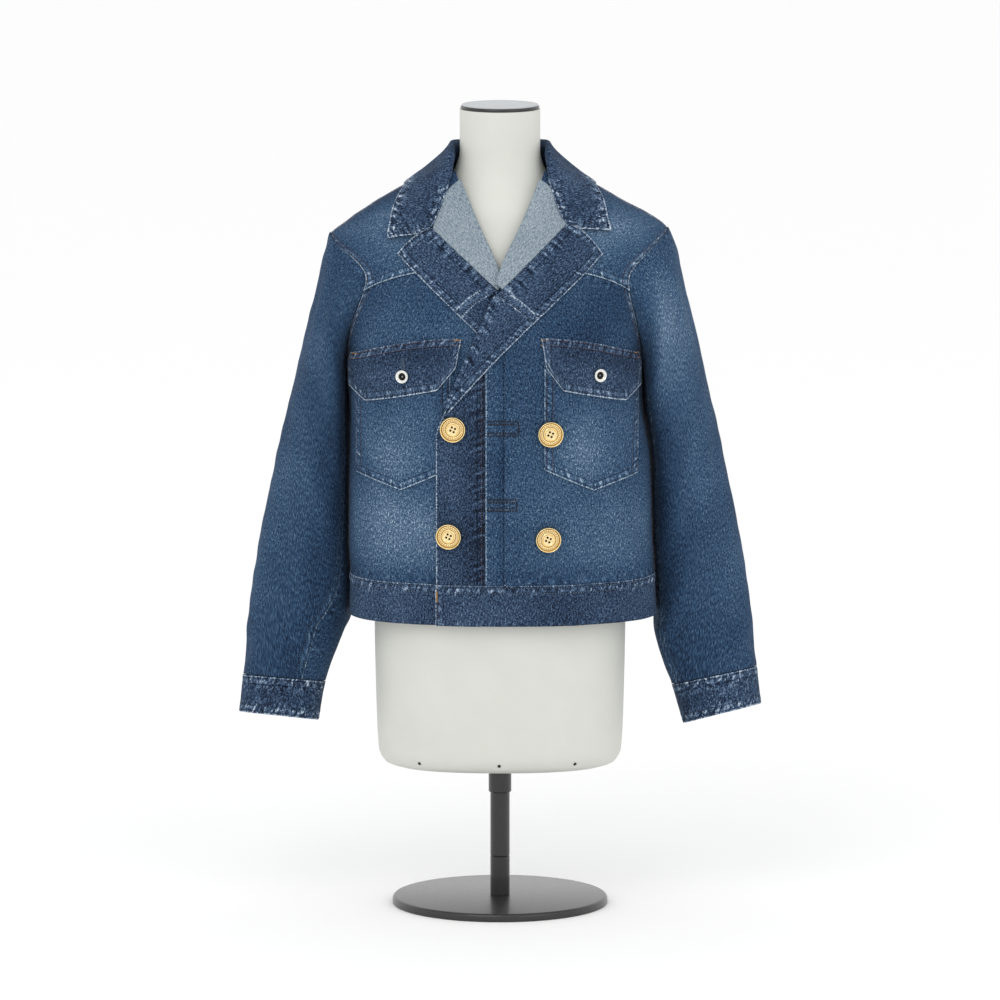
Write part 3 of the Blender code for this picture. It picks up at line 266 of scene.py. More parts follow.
SLEEVE_FOLDS = [  # along is a place down the sleeve, around an angle from its outer edge
    Fold(1.7, 52.0, 6.0, 1.3, 11.0, -0.0032),
    Fold(2.7, 84.0, 5.0, 1.2, 11.0, -0.0026),
    Fold(2.2, 22.0, 2.0, 1.1, 9.0, -0.0022),
    Fold(4.6, 108.0, -12.0, 1.0, 13.0, -0.0034),
    Fold(5.6, 42.0, 14.0, 0.9, 12.0, -0.0026),
    Fold(7.2, 74.0, -16.0, 0.8, 12.0, -0.0034),
    Fold(8.5, 122.0, 12.0, 0.7, 13.0, -0.0034),
    Fold(9.3, 14.0, -10.0, 0.35, 14.0, -0.0042),
    Fold(2.1, -58.0, -6.0, 1.3, 12.0, -0.0032),
    Fold(4.8, -92.0, 12.0, 1.0, 13.0, -0.0034),
    Fold(6.9, -48.0, -14.0, 0.8, 12.0, -0.0030),
    Fold(8.7, -104.0, 10.0, 0.7, 13.0, -0.0036),
    # smaller creases between the main ones
    Fold(3.4, 60.0, 8.0, 0.9, 7.0, 0.0014),
    Fold(1.6, 72.0, 8.0, 0.9, 6.0, 0.0014),
    Fold(5.2, 76.0, -10.0, 0.7, 7.0, -0.0015),
    Fold(6.3, 100.0, 18.0, 0.5, 7.0, -0.0016),
    Fold(6.6, 58.0, -22.0, 0.5, 6.0, -0.0013),
    Fold(7.9, 96.0, 20.0, 0.5, 7.0, -0.0016),
    Fold(8.1, 40.0, -18.0, 0.5, 7.0, -0.0014),
    Fold(9.0, 66.0, 14.0, 0.4, 8.0, -0.0016),
    Fold(9.35, 96.0, -10.0, 0.3, 7.0, -0.0014),
    Fold(3.6, -66.0, -8.0, 0.9, 7.0, 0.0014),
    Fold(5.9, -72.0, 14.0, 0.6, 7.0, -0.0016),
    Fold(7.8, -76.0, 18.0, 0.5, 7.0, -0.0016),
    Fold(9.2, -40.0, 12.0, 0.35, 8.0, -0.0015),
]


class Span(NamedTuple):
    """A pocket's or flap's reach on the front, from its inner to its outer edge."""

    inner: float
    outer: float


class Corner(NamedTuple):
    """A corner of a lower outline: its share along the span and its height."""

    share: float
    height: float


FLAP_SPAN = {1: Span(0.0500, 0.1700), -1: Span(-0.0475, -0.1835)}
POCKET_SPAN = {1: Span(0.0540, 0.1690), -1: Span(-0.0610, -0.1760)}
FLAP_FOOT = [Corner(0.05, 0.694), Corner(0.22, 0.666), Corner(0.85, 0.6485), Corner(1.0, 0.665)]
POCKET_FOOT = [Corner(0.00, 0.5675), Corner(0.53, 0.539), Corner(1.00, 0.556)]
FLAP_TOP, FLAP_SLOPE, POCKET_BELOW_SEAM = 0.7305, 0.0255, 0.016
FLAP_DEPTH = 0.055  # from a flap's seam to its hem
FLAP_CLIMB = 0.3  # share of that depth over which a flap climbs off its seam
FLAP_LIP = 0.0085  # from a flap button's centre to its rim

GOLD_BUTTONS = {
    "front_button_upper_right": (-0.0575, 0.6185),
    "front_button_upper_left": (0.0610, 0.6125),
    "front_button_lower_right": (-0.0625, 0.4840),
    "front_button_lower_left": (0.0588, 0.4800),
}
FLAP_BUTTONS = {-1: (-0.1178, 0.6825), 1: (0.1196, 0.6830)}


class UnderSeam(NamedTuple):
    """Where the under sleeve's two seams are, in degrees from the sleeve's outer edge."""

    spot: float
    front: float
    back: float


UNDER_SEAMS = {
    -1: [
        UnderSeam(0.0, 150.0, -150.0),
        UnderSeam(5.0, 150.0, -135.0),
        UnderSeam(7.0, 140.0, -130.0),
        UnderSeam(8.6, 115.0, -125.0),
        UnderSeam(10.0, 115.0, -122.0),
    ],
    1: [
        UnderSeam(0.0, 150.0, -150.0),
        UnderSeam(5.0, 155.0, -135.0),
        UnderSeam(7.0, 157.0, -130.0),
        UnderSeam(8.6, 155.0, -125.0),
        UnderSeam(10.0, 152.0, -122.0),
    ],
}


# ---------------------------------------------------------------- small mathematics
def signed_power(value: Array, power: float) -> Array:
    """A power of the size of each value, with the value's own sign."""
    return np.sign(value) * np.abs(value) ** power


def smooth_step(low: float, high: float, value: Array) -> Array:
    """0 at low, 1 at high, 3s^2 - 2s^3 between them."""
    share = np.clip((value - low) / (high - low), 0.0, 1.0)
    return share * share * (3.0 - 2.0 * share)


def cubic(known: Array, values: Array, slopes: Array, at: Array) -> Array:
    """A cubic between each two known places that has the given slope at each.

    Args:
        known: the places, rising.
        values: the number or the array at each place.
        slopes: its slope there.
        at: where to read it.

    Returns:
        The value at each place asked for.
    """
    k = np.clip(np.searchsorted(known, at, side="right") - 1, 0, len(known) - 2)
    h = np.diff(known)[k]
    s = (at - known[k]) / h
    h, s = (part.reshape(part.shape + (1,) * (values.ndim - 1)) for part in (h, s))
    return (
        values[k] * (1 + 2 * s) * (1 - s) ** 2
        + slopes[k] * h * s * (1 - s) ** 2
        + values[k + 1] * s * s * (3 - 2 * s)
        - slopes[k + 1] * h * s * s * (1 - s)
    )


def column(table: list, name: str, at: Array) -> Array:
    """A column of a table at any value of the first one.

    Between two rows it is the cubic with the harmonic mean of the neighbouring slopes as its
    end slopes, which never overshoots.

    Args:
        table: named rows, rising in their first value.
        name: the column's name.
        at: where to read it.

    Returns:
        The column's value at each place.
    """
    known = np.array([row[0] for row in table])
    values = np.array([getattr(row, name) for row in table])
    step = np.diff(known)
    slope = np.diff(values) / step
    product = slope[:-1] * slope[1:]
    total = np.where(product > 0, slope[:-1] + slope[1:], 1.0)
    inner = np.where(product > 0, 2.0 * product / total, 0.0)
    tangent = np.concatenate([[slope[0]], inner, [slope[-1]]])
    return cubic(known, values, tangent, np.clip(at, known[0], known[-1]))


def bump(value: Array, centre: float, width: float) -> Array:
    """A Gaussian, 1 at its centre."""
    return np.exp(-(((value - centre) / width) ** 2))


def fold_depth(folds: list[Fold], along: Array, around: Array) -> Array:
    """The sum of a table's ridges and troughs, each a Gaussian across and along its line."""
    depth = 0.0
    for fold in folds:
        slanted = fold.around + fold.slant * (along - fold.along)
        beside = (around - slanted + 180.0) % 360.0 - 180.0
        across = bump(beside, 0.0, fold.width)
        depth = depth + fold.depth * across * bump(along, fold.along, fold.length)
    return depth


def wander(x: Array, wavelength: float, seed: int) -> Array:
    """An uneven wave from about -1 to 1: five sines of nearby lengths and seeded phases."""
    rng = np.random.default_rng(seed)
    total = np.zeros(np.shape(x))
    for stretch in (0.62, 0.85, 1.0, 1.37, 2.1):
        total = total + np.sin(2 * pi * (x / (wavelength * stretch) + rng.random()))
    return total / 2.6


def rumple(u: Array, v: Array, wavelength: float, seed: int) -> Array:
    """An uneven field from about -1 to 1: nine plane waves in seeded directions."""
    rng = np.random.default_rng(seed)
    total = np.zeros(np.shape(u))
    for _ in range(9):
        angle, stretch, phase = rng.random() * pi, 0.6 + 1.2 * rng.random(), rng.random()
        run = (u * np.cos(angle) + v * np.sin(angle)) / (wavelength * stretch)
        total = total + np.sin(2 * pi * (run + phase))
    return total / 3.2


def run_along(line: Array) -> Array:
    """Distances along a line of points from its first one."""
    return np.concatenate([[0.0], np.cumsum(np.linalg.norm(np.diff(line, axis=0), axis=1))])


def graded(length: float, coarse: float, fine: float, ends: tuple[bool, bool]) -> Array:
    """Shares from 0 to 1, spaced finely near the chosen ends and coarsely between them.

    Args:
        length: the real length that the shares divide.
        coarse: spacing in the middle.
        fine: spacing within 13 mm of a chosen end.
        ends: whether the start and the end are fine.

    Returns:
        The shares, rising from 0 to 1.
    """
    reach = 0.013
    place = np.linspace(0.0, length, 2000)
    near = np.zeros_like(place)
    if ends[0]:
        near = np.maximum(near, 1.0 - smooth_step(reach, 1.6 * reach, place))
    if ends[1]:
        near = np.maximum(near, 1.0 - smooth_step(reach, 1.6 * reach, length - place))
    spacing = coarse + (fine - coarse) * near
    count = np.concatenate([[0.0], np.cumsum(np.diff(place) / spacing[:-1])])
    wanted = np.linspace(0.0, count[-1], max(3, int(round(count[-1])) + 1))
    return np.interp(wanted, count, place) / length


# ---------------------------------------------------------------- the body's surface
def section_point(table: list[Section], angle: Array, height: Array) -> tuple[Array, Array]:
    """Points and outward normals of a stack of superellipses.

    A point is (w sin^(2/n), -d cos^(2/n)) of its angle, with w, d and n read from the table at
    its height, and its normal is the gradient of |x/w|^n + |y/d|^n.

    Args:
        table: the stack of sections.
        angle: angle round it, 0 at the centre front, rising towards the wearer's left.
        height: height of each point.

    Returns:
        The points and their unit normals.
    """
    square = column(table, "square", height)
    small = 0.002  # the step over which the slopes up the body are taken
    sides = []
    for at in (height, height + small):
        width, shift, front, back = (
            column(table, name, at) for name in ("half_width", "shift", "front", "back")
        )
        sides.append((width, shift, np.where(np.cos(angle) > 0, front, back)))
    wider, moved, deeper = ((above - here) / small for here, above in zip(*sides))
    width, shift, depth = sides[0]
    x = width * signed_power(np.sin(angle), 2.0 / square)
    y = -depth * signed_power(np.cos(angle), 2.0 / square)
    share_x, share_y = np.abs(x) / width, np.abs(y) / depth
    normal_x = signed_power(x / width, square - 1.0) / width
    normal_y = signed_power(y / depth, square - 1.0) / depth
    normal_z = (
        -(share_x**square) * wider / width - share_y**square * deeper / depth - moved * normal_x
    )
    point = np.stack([x + shift, y, height + 0.0 * x], axis=-1)
    normal = np.stack([normal_x, normal_y, normal_z], axis=-1)
    return point, normal / np.linalg.norm(normal, axis=-1, keepdims=True)


def body(angle: Array, height: Array, rise: Array | float = 0.0) -> Array:
    """Points of the jacket's body, rise outside its middle surface, with its folds."""
    angle, height = np.broadcast_arrays(np.asarray(angle, float), np.asarray(height, float))
    point, normal = section_point(JACKET, angle, height)
    out = rise + fold_depth(BODY_FOLDS, height, np.degrees(angle))
    return point + normal * np.expand_dims(np.broadcast_to(out, angle.shape), -1)


def angle_at(x: Array, height: Array) -> Array:
    """The angle round the front where the body's surface is at x."""
    share = (x - column(JACKET, "shift", height)) / column(JACKET, "half_width", height)
    share = np.clip(share, -0.9999, 0.9999)
    return np.arcsin(signed_power(share, column(JACKET, "square", height) / 2.0))


def side_of_body(side: int, y: Array | float, height: Array | float) -> Array:
    """How far from the middle plane the body's side is, at a depth y."""
    height = np.maximum(height, HEM)
    depth = np.where(y < 0, column(JACKET, "front", height), column(JACKET, "back", height))
    square = column(JACKET, "square", height)
    inner = np.clip(1.0 - (np.abs(y) / depth) ** square, 0.0, 1.0) ** (1.0 / square)
    return column(JACKET, "half_width", height) * inner + side * column(JACKET, "shift", height)


def armhole_depth(turn: Array) -> Array:
    """Half the armhole's width at a turn from the shoulder point, 0, to the underarm, pi."""
    taper = 1.0 - ARMHOLE_TAPER * (1.0 - np.cos(turn)) / 2.0
    return ARMHOLE_REACH * np.abs(np.sin(turn)) ** 1.1 * taper


def armhole_angle(height: Array, facing_back: bool) -> Array:
    """The angle round the body at the armhole, or at the side where there is none."""
    turn = np.arccos(np.clip((height - ARMHOLE_MIDDLE) / ARMHOLE_HALF, -1.0, 1.0))
    share = armhole_depth(turn) / column(JACKET, "back" if facing_back else "front", height)
    angle = np.arccos(share ** (column(JACKET, "square", height) / 2.0))
    return pi - angle if facing_back else angle


def armhole_heights(steps: Array) -> Array:
    """Heights of the armhole at steps from the shoulder point, 0, to the underarm, 12."""
    return ARMHOLE_MIDDLE + ARMHOLE_HALF * np.cos(pi * np.asarray(steps) / ARMHOLE_STEPS)


def yoke_front(share: Array) -> Array:
    """The front yoke seam's height at a share of the front's width, from the armhole."""
    beyond = np.clip(1.0 - share / YOKE_LEVEL, 0.0, 1.0)
    return YOKE_FRONT + (YOKE_SIDE - YOKE_FRONT) * beyond**1.5


def yoke_back(share: Array) -> Array:
    """The back yoke seam's height at a share of the back's width, from the left armhole."""
    return YOKE_BACK + (YOKE_SIDE - YOKE_BACK) * np.abs(2.0 * share - 1.0) ** 2.5


def overlap_rise(x: Array, height: Array) -> Array:
    """How far the left front stands outside the right one."""
    across = 1.0 - smooth_step(*OVERLAP_ENDS, x)
    return OVERLAP * across * (1.0 - smooth_step(*OVERLAP_TOP, height))


def own_rise(side: int, x: Array, height: Array) -> Array:
    """How far a front stands outside the body's own surface: the left one laps the right."""
    return overlap_rise(x, height) * (side > 0)


def roll_x(height: Array) -> Array:
    """Where the roll line crosses each height."""
    return column(ROLL_LINE, "across", height)


def beyond_roll(x: Array | float, height: Array) -> Array:
    """x of a piece's inner edge beside a seam, kept clear of the roll line."""
    return np.maximum(x + SEAM, roll_x(height) + 3 * SEAM)


def level(height: float) -> Curve:
    """An edge that is at one height at every share across."""
    return lambda share: height + 0.0 * share


def lift_shoulder(points: Array) -> Array:
    """The garment hangs a little higher at the wearer's left shoulder."""
    x, height = points[..., 0], points[..., 2]
    amount = smooth_step(*LIFT_HEIGHTS, height) * smooth_step(*LIFT_WIDTHS, np.abs(x))
    lifted = points.copy()
    lifted[..., 2] += SHOULDER_LIFT * np.sign(x) * amount
    return lifted


# ---------------------------------------------------------------- finishes
def linear(code: str) -> tuple[float, float, float, float]:
    """A #RRGGBB colour as linear values with full alpha."""
    share = np.array([int(code[i : i + 2], 16) for i in (1, 3, 5)]) / 255.0
    value = np.where(share <= 0.04045, share / 12.92, ((share + 0.055) / 1.055) ** 2.4)
    return (*value.tolist(), 1.0)


class Shading:
    """A material's node tree."""

    def __init__(self, name: str) -> None:
        """Starts an empty tree with its surface shader.

        Args:
            name: the material's name.
        """
        self.material = bpy.data.materials.new(name)
        self.material.use_nodes = True
        self.tree = self.material.node_tree
        self.shader = self.tree.nodes["Principled BSDF"]

    def add(self, kind: str, inputs: dict | None = None, **settings: object) -> bpy.types.Node:
        """Adds one node with its settings and links.

        Args:
            kind: the node's type, without the "ShaderNode" before it.
            inputs: for each input, by name or number, a value or the socket or node to link.
            settings: the node's own properties; a ramp's stops are places and #RRGGBB colours.

        Returns:
            The node.
        """
        made = self.tree.nodes.new("ShaderNode" + kind)
        stops = settings.pop("stops", ())
        for key, value in settings.items():
            setattr(made, key, value)
        for _ in stops[2:]:  # a ramp starts with two stops
            made.color_ramp.elements.new(0.5)
        for number, (place, code) in enumerate(stops):
            made.color_ramp.elements[number].position = place
            made.color_ramp.elements[number].color = linear(code)
        self.feed(made, inputs or {})
        return made

    def feed(self, node: bpy.types.Node, inputs: dict) -> None:
        """Sets or links inputs of a node that is already there.

        Args:
            node: the node.
            inputs: for each input, by name or number, a value or the socket or node to link.
        """
        for key, value in inputs.items():
            socket = node.inputs[key]
            if isinstance(value, bpy.types.Node):
                value = value.outputs[0]
            if isinstance(value, bpy.types.NodeSocket):
                self.tree.links.new(value, socket)
            else:
                socket.default_value = value


class Grain(NamedTuple):
    """A noise on the cloth, whose grains are across by along, in metres."""

    name: str
    across: float
    along: float
    detail: float
    distortion: float


GRAINS = (  # the warp's slubs are 0.7 mm yarns, drawn 1.6 mm wide so that they show
    Grain("streak", 0.0016, 0.0044, 2.0, 0.0),
    Grain("fleck", 0.0017, 0.0019, 2.0, 0.0),
    Grain("cloud", 0.030, 0.042, 3.0, 0.6),
    Grain("vein", 0.0060, 0.0085, 2.0, 1.1),
)
RIB = 0.0019  # the twill's diagonal rib, 0.8 mm, drawn coarser so that it shows
LIMITS = ("Value", "From Min", "From Max", "To Min", "To Max")


@dataclass(frozen=True)
class Denim:
    """Indigo cotton twill, ring-dyed and washed: pale cores show wherever it is rubbed.

    level is how far it is washed out, from 0 to 1; marble is the strength of the wash's veins
    along its wrinkles; fleck and streak are the contrasts of its short and long slubs.
    """

    name: str
    level: float
    marble: float = 0.0
    stops: tuple[tuple[float, str], ...] = (
        (0.00, "#0C1626"),
        (0.20, "#1A2B42"),
        (0.40, "#2A4360"),
        (0.60, "#415B76"),
        (0.80, "#677D94"),
        (1.00, "#ACBDCB"),
    )
    fleck: float = 0.50
    streak: float = 0.42

    def steps(self) -> list[tuple]:
        """The sums that turn the cloth's grains and attributes into its tone and relief.

        Returns:
            Each sum as its result's name, its operation and its values, which are numbers or
            names of earlier results; a RANGE turns its two limits into the two after them.
        """
        steps = [
            ("diagonal", "ADD", "across", "along"),
            ("turns", "MULTIPLY", "diagonal", 2 * pi / RIB),
            ("rib", "SINE", "turns"),
            # fade holds the wash's random faded places and the piece's patches; some dark patches
            # are painted shade
            ("tone", "MULTIPLY_ADD", "fade", 0.30, self.level),
            ("slub", "RANGE", "streak", 0.25, 0.75, -self.streak / 2, self.streak / 2),
            ("tone", "ADD", "tone", "slub"),
            ("speck", "RANGE", "fleck", 0.25, 0.75, -self.fleck / 2, self.fleck / 2),
            ("tone", "ADD", "tone", "speck"),
            ("haze", "RANGE", "cloud", 0.25, 0.75, -0.035, 0.035),
            ("tone", "ADD", "tone", "haze"),
            ("tone", "MULTIPLY_ADD", "rib", 0.018, "tone"),
            # puckers: their tops are rubbed pale, partly as wear and partly as painted light, and
            # their hollows are darkened as painted shade
            ("tone", "MULTIPLY_ADD", "pucker_wear_and_shade", 0.20, "tone"),
            ("top", "MAXIMUM", "pucker_wear_and_shade", 0.0),
            ("tone", "MULTIPLY_ADD", "top", 0.13, "tone"),
        ]
        if self.marble:
            steps += [
                ("near", "RANGE", "edge", 0.008, 0.024, 1.0, 0.25),
                ("veins", "RANGE", "vein", 0.42, 0.62, -self.marble / 2, self.marble),
                ("tone", "MULTIPLY_ADD", "veins", "near", "tone"),
            ]
        steps += [  # rubbed edges: the indigo is gone from the outermost 1.5 mm
            ("outermost", "RANGE", "edge", 0.0005, 0.0021, 1.0, 0.0),
            ("rubbed", "MULTIPLY", "outermost", "worn"),
            ("patchy", "RANGE", "fleck", 0.30, 0.60, 0.55, 1.0),
            ("rubbed", "MULTIPLY", "rubbed", "patchy"),
            ("tone", "MULTIPLY_ADD", "rubbed", 0.58, "tone"),
        ]
        # the needle lines draw the cloth in at 3 mm and 10 mm from a sewn edge, and the tone there
        # is darkened as painted shade in those grooves; the doubled cloth between them stands up
        # and is rubbed a little paler
        needles = (("first", 0.0030, 0.0, 0.0012), ("second", 0.0100, 0.0, 0.0012))
        for name, place, start, end in (*needles, ("ridge", 0.0065, 0.0015, 0.0032)):
            steps += [
                ("away", "SUBTRACT", "edge", place),
                ("away", "ABSOLUTE", "away"),
                (name, "RANGE", "away", start, end, 1.0, 0.0),
            ]
        return steps + [
            ("drawn", "MAXIMUM", "first", "second"),
            ("tone", "MULTIPLY_ADD", "drawn", -0.22, "tone"),
            ("ridge", "MULTIPLY", "ridge", "worn"),
            ("tone", "MULTIPLY_ADD", "ridge", 0.11, "tone"),
            ("relief", "MULTIPLY", "rib", 0.12),
            ("relief", "MULTIPLY_ADD", "streak", 0.6, "relief"),
            ("relief", "MULTIPLY_ADD", "fleck", 0.35, "relief"),
            ("relief", "MULTIPLY_ADD", "vein", 1.4 if self.marble else 0.3, "relief"),
            ("relief", "MULTIPLY_ADD", "drawn", -0.8, "relief"),
        ]

    def build(self) -> bpy.types.Material:
        """Makes the material.

        Returns:
            The material, which reads the cloth's own UV map in metres and its attributes.
        """
        shading = Shading(self.name)
        uv = shading.add("UVMap", uv_map="Cloth")
        split = shading.add("SeparateXYZ", {0: uv})
        made = {"across": split.outputs[0], "along": split.outputs[1]}
        for name in ("fade", "edge", "worn", "pucker_wear_and_shade"):
            made[name] = shading.add("Attribute", attribute_name=name).outputs["Fac"]
        for grain in GRAINS:
            scale = (1.0 / grain.across, 1.0 / grain.along, 1.0)
            placed = shading.add("Mapping", {"Vector": uv, "Scale": scale})
            inputs = {"Vector": placed, "Scale": 1.0, "Detail": grain.detail}
            inputs["Distortion"] = grain.distortion
            noise = shading.add("TexNoise", inputs, noise_dimensions="2D")
            made[grain.name] = noise.outputs[0]
        for name, operation, *values in self.steps():
            values = [made[value] if isinstance(value, str) else value for value in values]
            if operation == "RANGE":
                node = shading.add("MapRange", dict(zip(LIMITS, values)))
            else:
                node = shading.add("Math", dict(enumerate(values)), operation=operation)
            made[name] = node.outputs[0]
        colour = shading.add("ValToRGB", {"Fac": made["tone"]}, stops=self.stops)
        height = {"Height": made["relief"], "Distance": 0.0007, "Strength": 0.55}
        wear = {"Roughness": 0.88, "Specular IOR Level": 0.10, "Sheen Weight": 0.03}
        wear |= {"Sheen Roughness": 0.5, "Sheen Tint": linear("#C9D6E4")}
        wear |= {"Base Color": colour, "Normal": shading.add("Bump", height)}
        shading.feed(shading.shader, wear)
        return shading.material


REVERSE_STOPS = (
    (0.00, "#4E5E6D"),
    (0.25, "#697987"),
    (0.50, "#8A97A0"),
    (0.75, "#A3ACB3"),
    (1.00, "#BEC3C7"),
)
DARK_STOPS = (
    (0.00, "#0F1623"),
    (0.20, "#1D293D"),
    (0.40, "#334660"),
    (0.60, "#4D627C"),
    (0.80, "#788BA1"),
    (1.00, "#BCC7D2"),
)


@dataclass(frozen=True)
class Plain:
    """A material of one colour with a faint grain: plastic, paint, thread or metal."""

    name: str
    colour: str
    shade: str
    roughness: float
    metallic: float = 0.0
    grain: float = 0.002
    relief: float = 0.00002
    coat: float = 0.0

    def build(self) -> bpy.types.Material:
        """Makes the material.

        Returns:
            The material, whose grain reads Object coordinates.
        """
        shading = Shading(self.name)
        place = shading.add("TexCoord").outputs["Object"]
        settings = {"Vector": place, "Scale": 1.0 / self.grain, "Detail": 3.0}
        noise = shading.add("TexNoise", settings)
        stops = ((0.30, self.shade), (0.70, self.colour))
        colour = shading.add("ValToRGB", {"Fac": noise}, stops=stops)
        limits = {"Value": noise, "To Min": self.roughness - 0.04}
        rough = shading.add("MapRange", {**limits, "To Max": self.roughness + 0.05})
        relief = shading.add("Bump", {"Height": noise, "Distance": self.relief, "Strength": 0.5})
        values = {"Metallic": self.metallic, "Coat Weight": self.coat}
        links = {"Base Color": colour, "Roughness": rough, "Normal": relief}
        shading.feed(shading.shader, {**values, **links})
        return shading.material


@dataclass(frozen=True)
class Plated:
    """Bright plated zinc, polished on its high places; its embossing and holes are darkened by
    their depth, as painted shade.
    """

    name: str
    bright: str
    dull: str
    pit: str

    def build(self) -> bpy.types.Material:
        """Makes the material.

        Returns:
            The material, which reads the button's own "depth" attribute.
        """
        shading = Shading(self.name)
        depth = shading.add("Attribute", attribute_name="depth").outputs["Fac"]
        place = shading.add("TexCoord").outputs["Object"]
        settings = {"Vector": place, "Scale": 1.0 / 0.0011, "Detail": 3.0}
        noise = shading.add("TexNoise", settings)
        # a faint grain of tarnish plus the depth, which darkens the hollows as painted shade
        depth_shade_and_tarnish = {0: noise, 1: 0.16, 2: depth}
        mixed = shading.add("Math", depth_shade_and_tarnish, operation="MULTIPLY_ADD")
        stops = ((0.16, self.bright), (0.50, self.dull), (0.90, self.pit))
        colour = shading.add("ValToRGB", {"Fac": mixed}, stops=stops)
        limits = {"Value": mixed, "From Max": 1.0, "To Min": 0.14, "To Max": 0.50}
        rough = shading.add("MapRange", limits)
        relief = shading.add("Bump", {"Height": noise, "Distance": 0.00003, "Strength": 0.4})
        links = {"Base Color": colour, "Roughness": rough, "Normal": relief, "Metallic": 1.0}
        shading.feed(shading.shader, links)
        return shading.material


class Finish(Enum):
    """Every finish of the object, each with what it gives the eye."""

    # mid blue without a gleam, speckled by slubs and paler where the body rubs
    BODY = Denim("washed indigo twill", 0.40)
    # the same a little paler, so the pockets stand out from the fronts
    POCKET = Denim("washed indigo twill, rubbed on the pockets", 0.42)
    # the same a little deeper, painted shade so that the arms fall back behind the body
    SLEEVE = Denim("washed indigo twill of the sleeves", 0.355)
    # navy with greyer highlights, framed by pale rubbed edges
    DARK = Denim("dark indigo twill of the bands", 0.33, 0.06, DARK_STOPS)
    # navy broken by pale veins, as wrinkled cloth comes out of the wash
    PUCKERED = Denim("dark indigo twill, washed over its wrinkles", 0.31, 0.28, DARK_STOPS)
    # between the two blues, faintly veined
    WAIST = Denim("indigo twill of the waistband", 0.36, 0.08, DARK_STOPS)
    # pale grey-blue with short grey flecks: the white weft covers the dyed warp
    REVERSE = Denim("undyed reverse of the twill", 0.46, 0.0, REVERSE_STOPS, 0.40, 0.46)
    # rows that sink into the dark cloth and are seen by their relief
    BLUE_THREAD = Plain("slate blue polyester thread", "#5A6C82", "#3A4A5E", 0.75)
    # a fine pale dashed line over the waist's and the lapels' puckers
    PALE_THREAD = Plain("pale blue polyester thread", "#8698AC", "#5E7188", 0.75)
    # warm dashes along the felled seams
    BROWN_THREAD = Plain("rust brown polyester thread", "#7E5B4A", "#563C34", 0.75)
    # small bright bars at the flaps' corners and the waistband's end
    TAN_THREAD = Plain("tan polyester thread", "#C2924F", "#8F6A38", 0.7)
    # thin dark outlines of the boxes and the buttonhole
    UMBER_THREAD = Plain("dark umber polyester thread", "#2E1F19", "#1A1210", 0.75)
    # pale gold glints on the raised rings, and brown painted shade in the grooves and holes
    GOLD = Plated("polished gold plating", "#FAE6B4", "#C09A56", "#4A3013")
    # white glints round a bowl darkened as painted shade
    SILVER = Plated("polished nickel plating", "#F0F0EC", "#A2A29C", "#2A2A2A")
    # an even, soft grey-white without highlights
    SKIN = Plain("matt off-white form skin", "#D0D1CA", "#CCCDC6", 0.55, 0.0, 0.05, 0.00003)
    # near black with a narrow soft highlight down the tube
    BLACK = Plain("black semi-gloss paint", "#191919", "#121212", 0.34, 0.0, 0.004, 0.00003, 0.3)
    # light grey with a broad, dull sheen
    GREY = Plain("satin grey lacquer", "#B3B6B8", "#A9ACAE", 0.38, 0.0, 0.02)
    # white that takes soft shadows and mirrors nothing
    WHITE = Plain("white studio paper", "#FAFAFA", "#F8F8F8", 0.9, 0.0, 0.003)
    # small dark dots with a dull metal edge
    SCREW = Plain("blackened steel", "#3A3A3A", "#262626", 0.4, 0.8)


MATERIALS: dict[Finish, bpy.types.Material] = {}


def material(finish: Finish) -> bpy.types.Material:
    """The finish's material, made the first time that it is asked for."""
    if finish not in MATERIALS:
        MATERIALS[finish] = finish.value.build()
    return MATERIALS[finish]


# ---------------------------------------------------------------- meshes
def grid_faces(rows: int, cols: int, closed: bool) -> Array:
    """Quads between neighbouring rows and columns, the last column joined to the first."""
    index = np.arange(rows * cols).reshape(rows, cols)
    if closed:
        index = np.concatenate([index, index[:, :1]], axis=1)
    quads = np.stack([index[:-1, :-1], index[:-1, 1:], index[1:, 1:], index[1:, :-1]], axis=-1)
    return quads.reshape(-1, 4)


def make_object(name: str, points: Array, faces: Array | list, finishes: list[Finish]) -> object:
    """A mesh object at the origin, smooth shaded.

    Args:
        name: its name.
        points: its vertices, in any grid shape.
        faces: its faces, as an array of quads or a list of mixed faces.
        finishes: its material slots, in order.

    Returns:
        The object, linked into the scene.
    """
    mesh = bpy.data.meshes.new(name)
    faces = faces.tolist() if isinstance(faces, np.ndarray) else faces
    mesh.from_pydata(np.asarray(points).reshape(-1, 3).tolist(), [], faces)
    mesh.update()
    mesh.shade_smooth()
    for finish in finishes:
        mesh.materials.append(material(finish))
    made = bpy.data.objects.new(name, mesh)
    bpy.context.scene.collection.objects.link(made)
    return made


def give_attribute(obj: object, name: str, values: Array) -> None:
    """Stores one number a vertex under a name that materials read."""
    layer = obj.data.attributes.new(name, "FLOAT", "POINT")
    layer.data.foreach_set("value", np.ascontiguousarray(values, np.float32).ravel())


def keep(obj: object, nodes: tuple[str, ...] = ()) -> object:
    """Rides a piece on the body, and hides the nodes that it stands for."""
    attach(obj, "root")
    if nodes:
        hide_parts(*nodes)
    LOG.info("%s: %d faces", obj.name, len(obj.data.polygons))
    return obj


